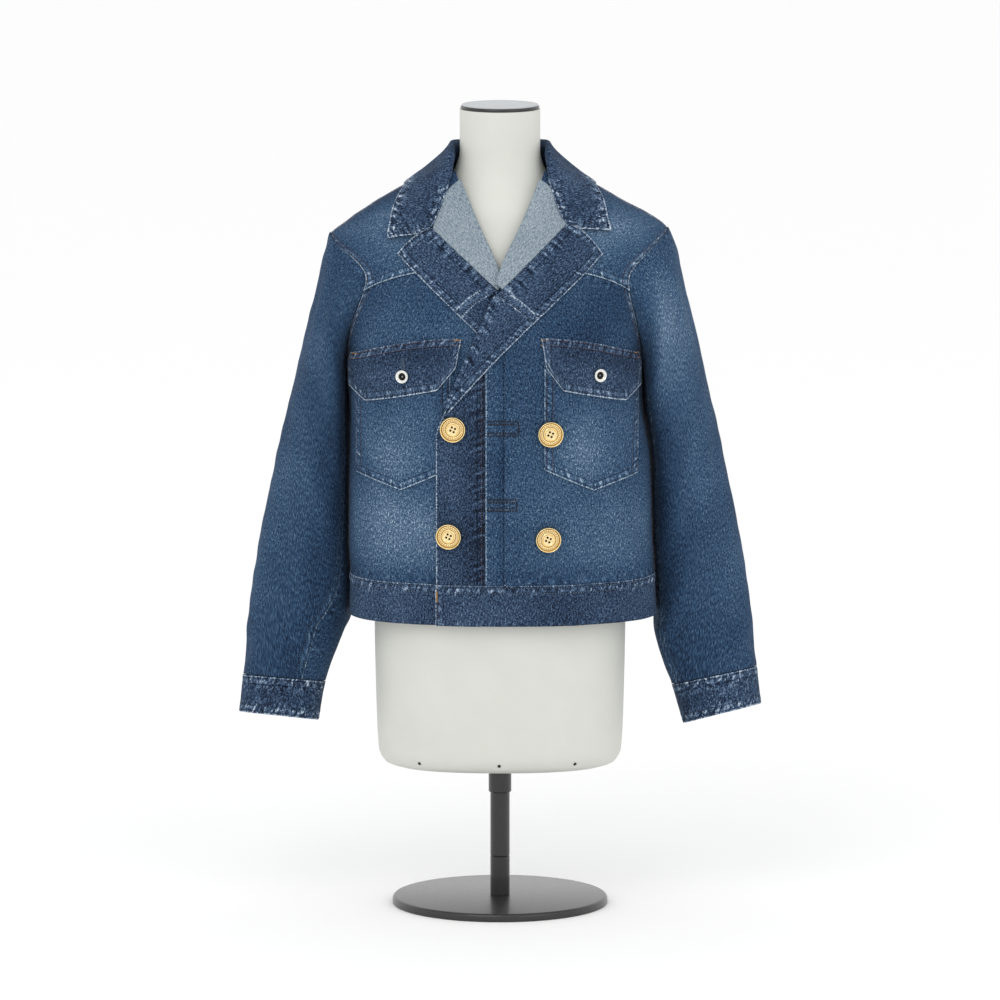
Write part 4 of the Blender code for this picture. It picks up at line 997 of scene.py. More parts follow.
def spun(name: str, rings: Array, finish: Finish, sharp: float = 35.0) -> object:
    """A closed surface through rings of points, with a pole at each end.

    Args:
        name: its name.
        rings: points of shape (rings, round, 3); the surface's outside is on the left of the
            way from the first ring to the last, as a lathe's profile from top to bottom has it.
        finish: its finish.
        sharp: edges over this many degrees stay sharp.

    Returns:
        The object.
    """
    count, around = rings.shape[:2]
    poles = np.stack([rings[0].mean(axis=0), rings[-1].mean(axis=0)])
    index = np.arange(around)
    following = (index + 1) % around
    last = (count - 1) * around
    faces = grid_faces(count, around, True)[:, ::-1].tolist()
    top, bottom = count * around, count * around + 1
    faces += np.stack([index, following, np.full(around, top)], axis=1).tolist()
    faces += np.stack([last + following, last + index, np.full(around, bottom)], axis=1).tolist()
    made = make_object(name, np.concatenate([rings.reshape(-1, 3), poles]), faces, [finish])
    made.data.set_sharp_from_angle(angle=radians(sharp))
    return made


def lathe(profile: Profile, around: int = 96) -> Array:
    """Rings of a profile of (radius, height), turned about the Z axis: (r cos a, r sin a, z)."""
    angle = np.linspace(0.0, 2 * pi, around, endpoint=False)[None, :]
    radius, height = (np.array(values)[:, None] for values in zip(*profile))
    flat = [radius * np.cos(angle), radius * np.sin(angle), height + 0.0 * angle]
    return np.stack(flat, axis=-1)


# ---------------------------------------------------------------- cloth
class Side(Enum):
    """The four sides of a cloth grid."""

    LEFT = "left"
    RIGHT = "right"
    BOTTOM = "bottom"
    TOP = "top"


@dataclass(frozen=True)
class Edging:
    """How one side of a piece of cloth is finished.

    worn is how pale its outermost threads are, pucker the height of its puckers in metres,
    rows the distances of its stitch rows from the edge, margin how far a row stops short of
    the corners, and ends the share of the side from each of its ends that is sewn.
    """

    worn: float = 0.0
    pucker: float = 0.0
    rows: tuple[float, ...] = ()
    thread: Finish = Finish.BLUE_THREAD
    reach: float = 0.0125
    period: float = 0.0068
    margin: float = 0.002
    sewn: bool = True
    ends: float = 0.5

    def sewn_at(self, share: Array) -> Array:
        """1 where the side is sewn, at shares from one of its ends to the other."""
        return 1.0 - smooth_step(self.ends, self.ends + 0.01, 0.5 - np.abs(share - 0.5))


TWIN_ROWS = (0.0030, 0.0100)  # a double-needle seam's rows, from the edge
ONE_ROW = (0.0030,)
RUB_WIDTH = 0.0022  # an edge is rubbed, and free of puckers, over this width
LAP_EDGE = 0.0018  # half the rubbed width at the upper edge of a seam's lap
REACH_WAVE, SLANT_WAVE = 0.023, 0.017  # lengths over which puckers change reach and slant
ROPE_WAVE, ROPE_HEIGHT = 0.0062, 0.00016  # the puckers on a seam's lap
UNEVEN_WAVE, FADE_WAVE = 0.045, 0.11  # sizes of the cloth's slow hills and of its faded places
BARE = Edging(sewn=False)
FELLED = Edging(1.4, 0.00042, TWIN_ROWS, Finish.BROWN_THREAD)
TURNED = Edging(1.0, 0.00034, TWIN_ROWS)
TURNED_ONE = Edging(1.0, 0.00026, ONE_ROW)
GATHERED = Edging(0.7, 0.00060, TWIN_ROWS, Finish.PALE_THREAD, 0.0145, 0.0062)


@dataclass
class Stitches:
    """Collects rows of stitches by thread, then makes one piece of each thread.

    A stitch is a spindle between two needle holes: three diamonds along its line, the middle
    one full and the ends drawn in.
    """

    pitch: float = 0.0034
    length: float = 0.0026
    half_width: float = 0.00038
    half_height: float = 0.00030
    rows: dict[tuple[str, Finish], list[tuple[Array, Array, Array]]] = field(default_factory=dict)

    def add_line(self, group: str, thread: Finish, line: Array, normal: Array) -> None:
        """Places stitches along a line on the cloth.

        Args:
            group: name of the piece of stitches that they go into.
            thread: the thread's finish.
            line: points of the line, shape (n, 3).
            normal: the cloth's outward normals there.
        """
        run = run_along(line)
        count = int(run[-1] / self.pitch)
        if len(line) < 2 or count < 2:
            return
        middle = (np.arange(count) + 0.5) * run[-1] / count
        ends = [middle - self.length / 2, middle + self.length / 2]

        def at(values: Array, where: Array) -> Array:
            """The values at distances along the line."""
            return np.stack([np.interp(where, run, values[:, k]) for k in range(3)], axis=1)

        start, end = (at(line, place) for place in ends)
        self.rows.setdefault((group, thread), []).append((start, end, at(normal, middle)))

    def add_stitch(self, group: str, thread: Finish, ends: Array, normal: Array) -> None:
        """Places single long stitches, such as those of a bar tack.

        Args:
            group: name of the piece of stitches that they go into.
            thread: the thread's finish.
            ends: start and end of each one, shape (n, 2, 3).
            normal: the cloth's outward normal at each one.
        """
        self.rows.setdefault((group, thread), []).append((ends[:, 0], ends[:, 1], normal))

    def make(self) -> None:
        """Makes one piece for each group and thread."""
        for (group, thread), rows in self.rows.items():
            start, end, normal = (np.concatenate(parts) for parts in zip(*rows))
            along = end - start
            along /= np.linalg.norm(along, axis=1, keepdims=True)
            normal = normal - along * np.sum(normal * along, axis=1, keepdims=True)
            normal /= np.linalg.norm(normal, axis=1, keepdims=True)
            across = np.cross(along, normal)
            share = np.array([0.0, 0.5, 1.0])
            swell = np.array([0.35, 1.0, 0.35])
            lift = np.array([-0.00016, 0.00010, -0.00016])
            turn = np.arange(4) * pi / 2
            centre = start[:, None] + (end - start)[:, None] * share[None, :, None]
            centre = centre + normal[:, None] * lift[None, :, None]
            wide = (self.half_width * swell[:, None] * np.cos(turn))[None, :, :, None]
            high = (self.half_height * swell[:, None] * np.sin(turn))[None, :, :, None]
            points = centre[:, :, None] + across[:, None, None] * wide
            points = points + normal[:, None, None] * high
            one = grid_faces(3, 4, True)[:, ::-1]
            caps = np.array([[0, 1, 2, 3], [11, 10, 9, 8]])
            pattern = np.concatenate([one, caps])
            faces = (pattern[None] + 12 * np.arange(len(start))[:, None, None]).reshape(-1, 4)
            made = make_object(f"stitches_{group}_{thread.name.lower()}", points, faces, [thread])
            keep(made)


STITCHES = Stitches()


def measured(points: Array) -> tuple[Array, Array]:
    """Real distances on a cloth grid: along its rows, and along its columns from the first."""
    u = np.linalg.norm(np.diff(points, axis=1), axis=-1)
    v = np.linalg.norm(np.diff(points, axis=0), axis=-1)
    u = np.concatenate([np.zeros((len(points), 1)), np.cumsum(u, axis=1)], axis=1)
    v = np.concatenate([np.zeros((1, points.shape[1])), np.cumsum(v, axis=0)], axis=0)
    return u, v


def grid_normals(points: Array, closed: bool) -> Array:
    """Unit normals of a cloth grid: the cross product of its row and column directions."""
    if closed:
        across = np.roll(points, -1, axis=1) - np.roll(points, 1, axis=1)
    else:
        across = np.gradient(points, axis=1)
    normal = np.cross(across, np.gradient(points, axis=0))
    length = np.linalg.norm(normal, axis=-1, keepdims=True)
    return normal / np.maximum(length, 1e-12)


def line_inside(
    points: Array, normal: Array, distance: Array, wanted: float
) -> tuple[Array, Array]:
    """The line of a grid that runs a wanted distance inside its first row.

    Args:
        points: the grid, shape (rows, cols, 3).
        normal: its normals.
        distance: each point's distance from the first row.
        wanted: the line's distance.

    Returns:
        The line's points and normals, one a column.
    """
    above = np.clip((distance < wanted).sum(axis=0), 1, len(points) - 1)
    cols = np.arange(points.shape[1])
    low, high = distance[above - 1, cols], distance[above, cols]
    share = np.clip((wanted - low) / np.maximum(high - low, 1e-9), 0.0, 1.0)[:, None]
    line = points[above - 1, cols] * (1 - share) + points[above, cols] * share
    return line, normal[above - 1, cols] * (1 - share) + normal[above, cols] * share


@dataclass(frozen=True)
class Patch:
    """A soft pale or dark place, at shares across and up a piece."""

    across: float
    up: float
    width: float
    height: float
    strength: float


@dataclass(frozen=True)
class Join:
    """A felled seam across a piece, at a share up it; its lap lies above it."""

    up: float
    worn: float = 0.85
    step: float = 0.00055
    lap: float = 0.0115
    rows: tuple[float, ...] = (0.0030, 0.0095)
    thread: Finish = Finish.PALE_THREAD


@dataclass
class Cloth:
    """One piece of cloth: its grid of points, its finish, its edges and how it hangs.

    The grid's rows rise and its columns run to the right as seen from outside.
    """

    node: str
    points: Array
    slot: str
    face: Finish
    back: Finish = Finish.REVERSE
    wall: float = SINGLE
    edges: dict[Side, Edging] = field(default_factory=dict)
    patches: tuple[Patch, ...] = ()
    unevenness: float = 0.00025
    seed: int = 1
    closed: bool = False
    hangs_from: tuple[str, ...] = ("form_torso",)
    held: str = "hung"
    flat_relief: Array | float = 1.0
    group: str = "body"
    joins: tuple[Join, ...] = ()
    paired: bool = False

    def build(self) -> None:
        """Makes the piece, its wall, its attributes and its stitch rows.

        The relief added along the normals is a slow unevenness plus, beside each sewn edge,
        puckers: an uneven wave along the edge, fading out away from it.
        """
        points = lift_shoulder(self.points)
        u, v = measured(points)
        rows, cols = u.shape
        distance = {
            Side.LEFT: u,
            Side.RIGHT: u[:, -1:] - u,
            Side.BOTTOM: v,
            Side.TOP: v[-1:] - v,
        }
        along = {Side.LEFT: v, Side.RIGHT: v, Side.BOTTOM: u, Side.TOP: u}
        nearest = np.full((rows, cols), 1.0)
        worn = np.zeros((rows, cols))
        # the puckers' tone: rubbed wear on their tops, with painted light and shade over their rise
        # and fall
        pucker_wear_and_shade = np.zeros((rows, cols))
        height = np.zeros((rows, cols))
        for number, (side, edging) in enumerate(self.edges.items()):
            if not edging.sewn:
                continue
            away, run = distance[side], along[side]
            whole = v[-1:] if side in (Side.LEFT, Side.RIGHT) else u[:, -1:]
            sewn = edging.sewn_at(run / np.maximum(whole, 1e-9))
            closer = (away < nearest) & (sewn > 0.5)
            if not edging.rows:  # no needle lines here, only the rubbed edge itself
                closer = closer & (away < RUB_WIDTH)
            nearest = np.where(closer, away, nearest)
            worn = np.where(closer, edging.worn, worn)
            seed = self.seed * 31 + number
            reach = edging.reach * (1.0 + 0.35 * wander(run, REACH_WAVE, seed))
            fading = 1.0 - smooth_step(0.45, 1.0, away / reach)
            window = smooth_step(0.0, RUB_WIDTH, away) * fading * sewn
            slanted = run + 0.35 * away + 0.0016 * wander(run, SLANT_WAVE, seed + 7)
            wave = wander(slanted, edging.period, seed + 13) * window
            pucker_wear_and_shade = pucker_wear_and_shade + wave * min(1.0, edging.pucker / 0.0003)
            height = height + wave * edging.pucker
        for number, join in enumerate(self.joins):
            away = v - v[-1:] * join.up
            lap = smooth_step(-0.0006, 0.0, away) * (1.0 - smooth_step(join.lap, 0.014, away))
            closer = (away > -0.0004) & (away < nearest)
            nearest = np.where(closer, np.maximum(away, 0.0), nearest)
            worn = np.where(closer, join.worn, worn)
            beyond = np.abs(away - join.lap)  # the lap's other edge is rubbed as well
            nearest = np.where(beyond < LAP_EDGE, beyond, nearest)
            ropes = wander(u + 0.4 * away, ROPE_WAVE, self.seed * 53 + number) * lap
            pucker_wear_and_shade = pucker_wear_and_shade + 0.35 * ropes
            height = height + join.step * lap + ROPE_HEIGHT * ropes
        relief = height + self.unevenness * rumple(u, v, UNEVEN_WAVE, self.seed)
        if not self.closed:
            inside = np.minimum(np.minimum(u, u[:, -1:] - u), np.minimum(v, v[-1:] - v))
            relief = relief * smooth_step(0.0, 0.003, inside)
        relief = relief * self.flat_relief
        normal = grid_normals(points, self.closed)
        points = points + normal * relief[..., None]
        self.sew(points + normal * (self.wall / 2), normal, distance)

        faces = grid_faces(rows, cols, self.closed)
        piece = make_object(self.node + "_cloth", points, faces, [self.face, self.back])
        # fade: the wash's random faded places plus the patches, some of whose dark places are
        # painted shade
        fade = 0.12 * rumple(u, v, FADE_WAVE, self.seed + 5)
        across = np.linspace(0.0, 1.0, cols)[None, :] if self.closed else u / u[:, -1:]
        up = v / v[-1:]
        for patch in self.patches:
            beside, above = (across - patch.across) / patch.width, (up - patch.up) / patch.height
            fade = fade + patch.strength * np.exp(-(beside**2 + above**2))
        for name, values in (("fade", fade), ("edge", nearest), ("worn", worn), ("pucker_wear_and_shade", pucker_wear_and_shade)):
            give_attribute(piece, name, values)
        self.lay_weave(piece.data, points, u, v)
        walls = piece.modifiers.new("Wall", "SOLIDIFY")
        walls.thickness = self.wall
        walls.offset = 0.0
        walls.use_even_offset = True
        walls.use_quality_normals = True
        walls.material_offset = 1
        keep(piece, (self.node,))
        self.declare(points)

    def lay_weave(self, mesh: bpy.types.Mesh, points: Array, u: Array, v: Array) -> None:
        """Gives the mesh its UV map, the metres across and along the weave.

        Args:
            mesh: the piece's mesh.
            points: its middle surface.
            u: distances along its rows.
            v: distances along its columns.
        """
        cols = u.shape[1]
        corner = np.empty(len(mesh.loops), np.int32)
        mesh.loops.foreach_get("vertex_index", corner)
        weft = u
        if self.paired:  # the weave runs in from both ends, as on a piece cut on the fold
            weft = np.minimum(u, u[:, -1:] - u)
        elif not self.closed:
            weft = u - u[:, cols // 2][:, None]
        flat = np.stack([weft.ravel(), v.ravel()], axis=1)[corner]
        if self.closed:  # the faces that close the ring run on to its whole girth
            girth = u[:, -1] + np.linalg.norm(points[:, -1] - points[:, 0], axis=1)
            wrapped = corner.reshape(-1, 4) % cols
            joins = wrapped.max(axis=1) - wrapped.min(axis=1) > 1
            again = (joins[:, None] & (wrapped == 0)).ravel()
            flat[again, 0] += girth[corner[again] // cols]
        mesh.uv_layers.new(name="Cloth").data.foreach_set("uv", flat.astype(np.float32).ravel())

    def sew(self, outside: Array, normal: Array, distance: dict[Side, Array]) -> None:
        """Sends each stitch row of each edge to the stitches.

        Args:
            outside: the outer surface's points.
            normal: its normals.
            distance: each point's distance from each side.
        """
        for side, edging in self.edges.items():
            for row in edging.rows:
                grid, facing, away = outside, normal, distance[side]
                if side in (Side.LEFT, Side.RIGHT):
                    grid, facing, away = (np.swapaxes(a, 0, 1) for a in (grid, facing, away))
                if side in (Side.RIGHT, Side.TOP):
                    grid, facing, away = grid[::-1], facing[::-1], away[::-1]
                line, facing_line = line_inside(grid, facing, away, row)
                run = run_along(line)
                shown = (run >= edging.margin) & (run <= run[-1] - edging.margin)
                shown &= edging.sewn_at(run / run[-1]) > 0.5
                first = run < run[-1] / 2
                halves = (shown,) if edging.ends >= 0.5 else (shown & first, shown & ~first)
                for part in halves:
                    STITCHES.add_line(self.group, edging.thread, line[part], facing_line[part])
        for join in self.joins:
            away = distance[Side.BOTTOM] - distance[Side.BOTTOM][-1:] * join.up
            for row in join.rows:
                line, facing_line = line_inside(outside, normal, away, row)
                STITCHES.add_line(self.group, join.thread, line[1:-1], facing_line[1:-1])

    def declare(self, points: Array) -> None:
        """Works out the piece's width, length and area; nothing keeps them.

        Args:
            points: its middle surface.
        """
        if self.closed:
            points = np.concatenate([points, points[:, :1]], axis=1)
        u, v = measured(points)
        width, length = float(u[:, -1].max()), float(v[-1].max())
        across = np.diff(points, axis=1)[:-1]
        up = np.diff(points, axis=0)[:, :-1]
        area = float(np.linalg.norm(np.cross(across, up), axis=-1).sum())
        area = min(max(area, 0.31 * width * length), width * length)


def sided(side: int, inner: Edging, outer: Edging) -> dict[Side, Edging]:
    """Left and right edgings of a piece, from those towards the centre and the side."""
    left, right = (inner, outer) if side > 0 else (outer, inner)
    return {Side.LEFT: left, Side.RIGHT: right}


def word(side: int) -> str:
    """The wearer's side in words."""
    return "left" if side > 0 else "right"


# ---------------------------------------------------------------- fronts and back
def panel_grid(
    heights: Array, angles: Array, cols: Array, low: Curve, top: Curve, near_edge: Curve
) -> Array:
    """Heights of a panel's grid.

    At the armhole its rows stand at the given heights; away from it they are spaced as far
    apart as they are along that edge.

    Args:
        heights: heights of the rows at the armhole.
        angles: angles round the body there.
        cols: shares across the panel.
        low: height of the lower edge at a share.
        top: height of the upper edge at a share.
        near_edge: 1 where a column follows the armhole, 0 where it doesn't.

    Returns:
        The heights, one row of the grid a height and one column a share.
    """
    run = run_along(body(angles, heights))
    inner = (run / run[-1])[:, None]
    outer = (heights - heights[0]) / (heights[-1] - heights[0])
    share = inner + (outer[:, None] - inner) * near_edge(cols)
    return low(cols) + (top(cols) - low(cols)) * share


def lapped(grid: Array, step: float) -> Array:
    """A piece whose lower edge stands a step outside the piece below it."""
    lift = smooth_step(0.009, 0.0, measured(grid)[1])[..., None]
    return grid + grid_normals(grid, False) * lift * step


@dataclass
class BodyShell:
    """The jacket's body: fronts, yokes, bands, pleats, back and waistband."""

    spacing: float = 0.0031
    fine: float = 0.0016
    edge_gap: float = SEAM / 2 / 0.10
    panel_low: float = WAIST_SEAM + SEAM

    def panel_heights(self) -> Array:
        """Heights of a panel's rows at the armhole, from the waist seam to the yoke seam."""
        length = UNDERARM - self.panel_low
        below = self.panel_low + length * graded(length, self.spacing, self.fine, (True, False))
        beside = armhole_heights(np.linspace(ARMHOLE_STEPS, YOKE_STEP, 46))
        return np.concatenate([below[:-1], beside])

    def yoke_heights(self) -> Array:
        """Heights of a yoke's rows at the armhole, and above it at the neck."""
        beside = armhole_heights(np.linspace(YOKE_STEP, 0, 32))
        return np.concatenate([beside[:-1], np.linspace(SHOULDER, NECKLINE, 30)])

    def front_edge(self, side: int, height: Array) -> Array:
        """x of a front's inner edge, towards its own side."""
        if side < 0:
            return beyond_roll(-BAND_IN, height)
        turned_in = smooth_step(PLEAT_TOP, YOKE_FRONT, height)
        return beyond_roll(PLEAT_IN + (roll_x(height) - PLEAT_IN) * turned_in, height)

    def front_points(self, side: int, heights: Array, low: Curve, top: Curve) -> Array:
        """A front's or a front yoke's points, between its armhole and its inner edge.

        Args:
            side: 1 for the wearer's left, -1 for the right.
            heights: heights of the rows at the armhole.
            low: height of the lower edge at a share across.
            top: height of the upper edge at a share across.

        Returns:
            The grid of points.
        """
        cols = graded(0.185, self.spacing, self.fine, (True, True))[None, ::-side]
        outer = armhole_angle(heights, False) - self.edge_gap
        height = panel_grid(heights, side * outer, cols, low, top, lambda s: (1.0 - s) ** 2)
        innermost = height[:, cols[0].argmax()]
        inner = angle_at(side * self.front_edge(side, innermost), innermost)
        angle = side * outer[:, None] * (1.0 - cols) + inner[:, None] * cols
        if side < 0:
            return body(angle, height)
        x = body(angle, height)[..., 0]
        pleated = 1.0 - smooth_step(0.012, 0.045, x)
        pleated = pleated * (1.0 - smooth_step(YOKE_FRONT, 0.840, height))
        return body(angle, height, overlap_rise(x, height) + 2 * PLEAT_STEP * pleated)

    def fronts(self) -> None:
        """Both fronts and their yokes."""
        gap = SEAM / 2
        for side in (1, -1):
            low, top = level(self.panel_low), lambda s: yoke_front(s) - gap
            grid = self.front_points(side, self.panel_heights(), low, top)
            inner = Edging(1.0, 0.0001) if side > 0 else BARE
            edges = sided(side, inner, FELLED)
            edges |= {Side.BOTTOM: Edging(0.0, 0.0002), Side.TOP: Edging(0.0, 0.0002)}
            # the dark patches along the foot, at the waist seam, and towards the armhole side are
            # painted shade
            patches = (
                Patch(0.5, 0.16, 0.40, 0.16, 0.60 if side > 0 else 0.90),
                Patch(0.5, 0.80, 0.40, 0.14, 0.10 if side < 0 else -0.25),
                Patch(0.5, 0.0, 0.9, 0.05, -0.35),
                Patch(0.5 - 0.5 * side, 0.3, 0.10, 0.6, -0.05),
                Patch(0.5 + 0.5 * side, 0.4, 0.12, 0.5, -0.30),
            )
            node = f"front_panel_{word(side)}"
            above = (f"front_yoke_{word(side)}",)
            Cloth(
                node, grid, "denim", Finish.BODY, edges=edges, patches=patches,
                seed=3 + side, hangs_from=above,
            ).build()
            low, top = lambda s: yoke_front(s) + gap, level(NECKLINE)
            grid = lapped(self.front_points(side, self.yoke_heights(), low, top), 0.0011)
            edges = sided(side, BARE, FELLED)
            edges |= {Side.BOTTOM: Edging(1.0, 0.0003, TWIN_ROWS)}
            # the dark patches at the neck, under the collar, and towards the shoulder end are
            # painted shade
            patches = (
                Patch(0.5, 0.45, 0.42, 0.38, 0.66),
                Patch(0.5, 1.0, 0.9, 0.22, -0.50),
                Patch(0.5 + 0.5 * side, 0.75, 0.30, 0.35, -0.60 if side < 0 else -0.20),
            )
            node = f"front_yoke_{word(side)}"
            Cloth(
                node, grid, "denim", Finish.BODY, edges=edges, patches=patches, seed=9 + side,
            ).build()

    def back(self) -> None:
        """The back panel and the back yoke."""
        cols = graded(0.43, 0.0036, 0.0018, (True, True))[None, :]

        def points(heights: Array, low: Curve, top: Curve) -> Array:
            """The grid between the two armholes, round the back."""
            edge = armhole_angle(heights, True) + self.edge_gap
            near = lambda s: (2.0 * s - 1.0) ** 4
            height = panel_grid(heights, edge, cols, low, top, near)
            edge = edge[:, None]
            return body(edge * (1.0 - cols) + (2 * pi - edge) * cols, height)

        gap = SEAM / 2
        low, top = level(self.panel_low), lambda s: yoke_back(s) - gap
        grid = points(self.panel_heights(), low, top)
        plain = Edging(0.35, 0.00030, TWIN_ROWS, Finish.BROWN_THREAD)
        sides = {Side.LEFT: plain, Side.RIGHT: plain}
        edges = {**sides, Side.BOTTOM: Edging(0.0, 0.0002), Side.TOP: Edging(0.0, 0.0002)}
        # the dark patch along the foot, at the waist seam, is painted shade
        patches = (
            Patch(0.3, 0.3, 0.2, 0.3, 0.35),
            Patch(0.7, 0.35, 0.2, 0.3, 0.35),
            Patch(0.5, 0.85, 0.3, 0.12, 0.20),
            Patch(0.5, 0.0, 0.9, 0.05, -0.35),
        )
        Cloth(
            "back_panel", grid, "denim", Finish.BODY, edges=edges, patches=patches, seed=17,
            hangs_from=("back_yoke",),
        ).build()
        low, top = lambda s: yoke_back(s) + gap, level(NECKLINE)
        grid = lapped(points(self.yoke_heights(), low, top), 0.0007)
        edges = {**sides, Side.BOTTOM: Edging(1.0, 0.0003, TWIN_ROWS)}
        patches = (Patch(0.25, 0.5, 0.2, 0.3, 0.35), Patch(0.75, 0.5, 0.2, 0.3, 0.35))
        Cloth(
            "back_yoke", grid, "denim", Finish.BODY, edges=edges, patches=patches, seed=19,
        ).build()

    def band_rows(self, top: float) -> Array:
        """Heights of a band's rows from the waist seam to its top, as a column."""
        length = top - self.panel_low
        return self.panel_low + length * graded(length, 0.0022, 0.0022, (False, False))[:, None]

    def bands(self) -> None:
        """The two front bands and the pleat strip beside the left one."""
        up = self.band_rows(BAND_TOP)
        for side in (1, -1):
            share = graded(0.061, 0.0030, 0.0015, (True, True))[None, :]
            outer = beyond_roll(-BAND_OUT, up)
            x = side * (outer + (-BAND_IN - outer) * share)[:, ::side]
            grid = body(angle_at(x, up), up, own_rise(side, x, up))
            edges = {
                Side.LEFT: Edging(1.0, 0.0001),
                Side.RIGHT: Edging(0.0, 0.00021, (0.0045,), Finish.BROWN_THREAD, 0.022, 0.0100),
            }
            if side < 0:
                edges = {Side.RIGHT: TURNED_ONE}
            # the dark patch along the right side is painted shade beside the layer that laps over
            # it
            patches = (
                Patch(1.0, 0.5, 0.45, 2.0, -0.55),
                Patch(0.3, 0.25, 0.3, 0.2, 0.15),
                Patch(0.3, 0.55, 0.3, 0.1, 0.10),
            )
            node = f"front_band_{word(side)}"
            beside = (f"front_panel_{word(side)}",)
            Cloth(
                node, grid, "dark_denim", Finish.DARK, edges=edges, patches=patches,
                seed=23 + side, hangs_from=beside,
            ).build()
        up = self.band_rows(PLEAT_TOP)
        outer = beyond_roll(-BAND_IN, up)
        x = outer + (PLEAT_IN - outer) * np.linspace(0.0, 1.0, 14)[None, :]
        grid = body(angle_at(x, up), up, overlap_rise(x, up) + PLEAT_STEP)
        # the dark patch along the right side is painted shade under the front's lapping edge
        patches = (Patch(1.0, 0.5, 0.3, 2.0, -0.30),)
        edges = {Side.LEFT: Edging(0.9, 0.00012)}
        Cloth(
            "pleat_left", grid, "denim", Finish.BODY, edges=edges, patches=patches, seed=29,
            unevenness=0.0001, hangs_from=("front_yoke_left",),
        ).build()

    def waistband(self) -> None:
        """One strip from the left front's edge round the back to the right front's edge."""
        start = float(angle_at(-BAND_OUT, HEM))
        end = 2 * pi + float(angle_at(BAND_OUT, HEM))
        angle = np.linspace(start, end, 520)[None, :]
        height = HEM + (WAIST_SEAM - HEM) * graded(0.051, 0.0030, 0.0015, (False, True))[:, None]
        angle, height = np.broadcast_arrays(angle, height)
        x = body(angle, height)[..., 0]
        rise = np.where(angle < pi / 2, overlap_rise(x, height), 0.0)
        grid = body(angle, height, rise)
        edges = {
            Side.LEFT: Edging(0.9, 0.0002, ONE_ROW, Finish.BROWN_THREAD),
            Side.RIGHT: TURNED_ONE,
            Side.BOTTOM: Edging(0.55, 0.0002, (), reach=0.006),
            Side.TOP: GATHERED,
        }
        # the dark patch along the top, at the waist seam, is painted shade
        patches = (
            Patch(0.5, 0.35, 2.0, 0.35, 0.10),
            Patch(0.5, 1.0, 2.0, 0.10, -0.20),
            Patch(0.14, 0.5, 0.10, 2.0, -0.30),
        )
        Cloth(
            "waistband", grid, "dark_denim", Finish.WAIST, Finish.DARK, DOUBLE, edges, patches,
            seed=31, hangs_from=("front_panel_left", "front_panel_right", "back_panel"),
        ).build()

    def build(self) -> None:
        """Makes every piece of the body."""
        self.fronts()
        self.back()
        self.bands()
        self.waistband()


# ---------------------------------------------------------------- lapels and collar
def on_front(x: Array, height: Array, side: int, rise: Array) -> Array:
    """Points of one front in front elevation; x is measured towards the wearer's left."""
    return body(angle_at(side * x, height), height, rise)


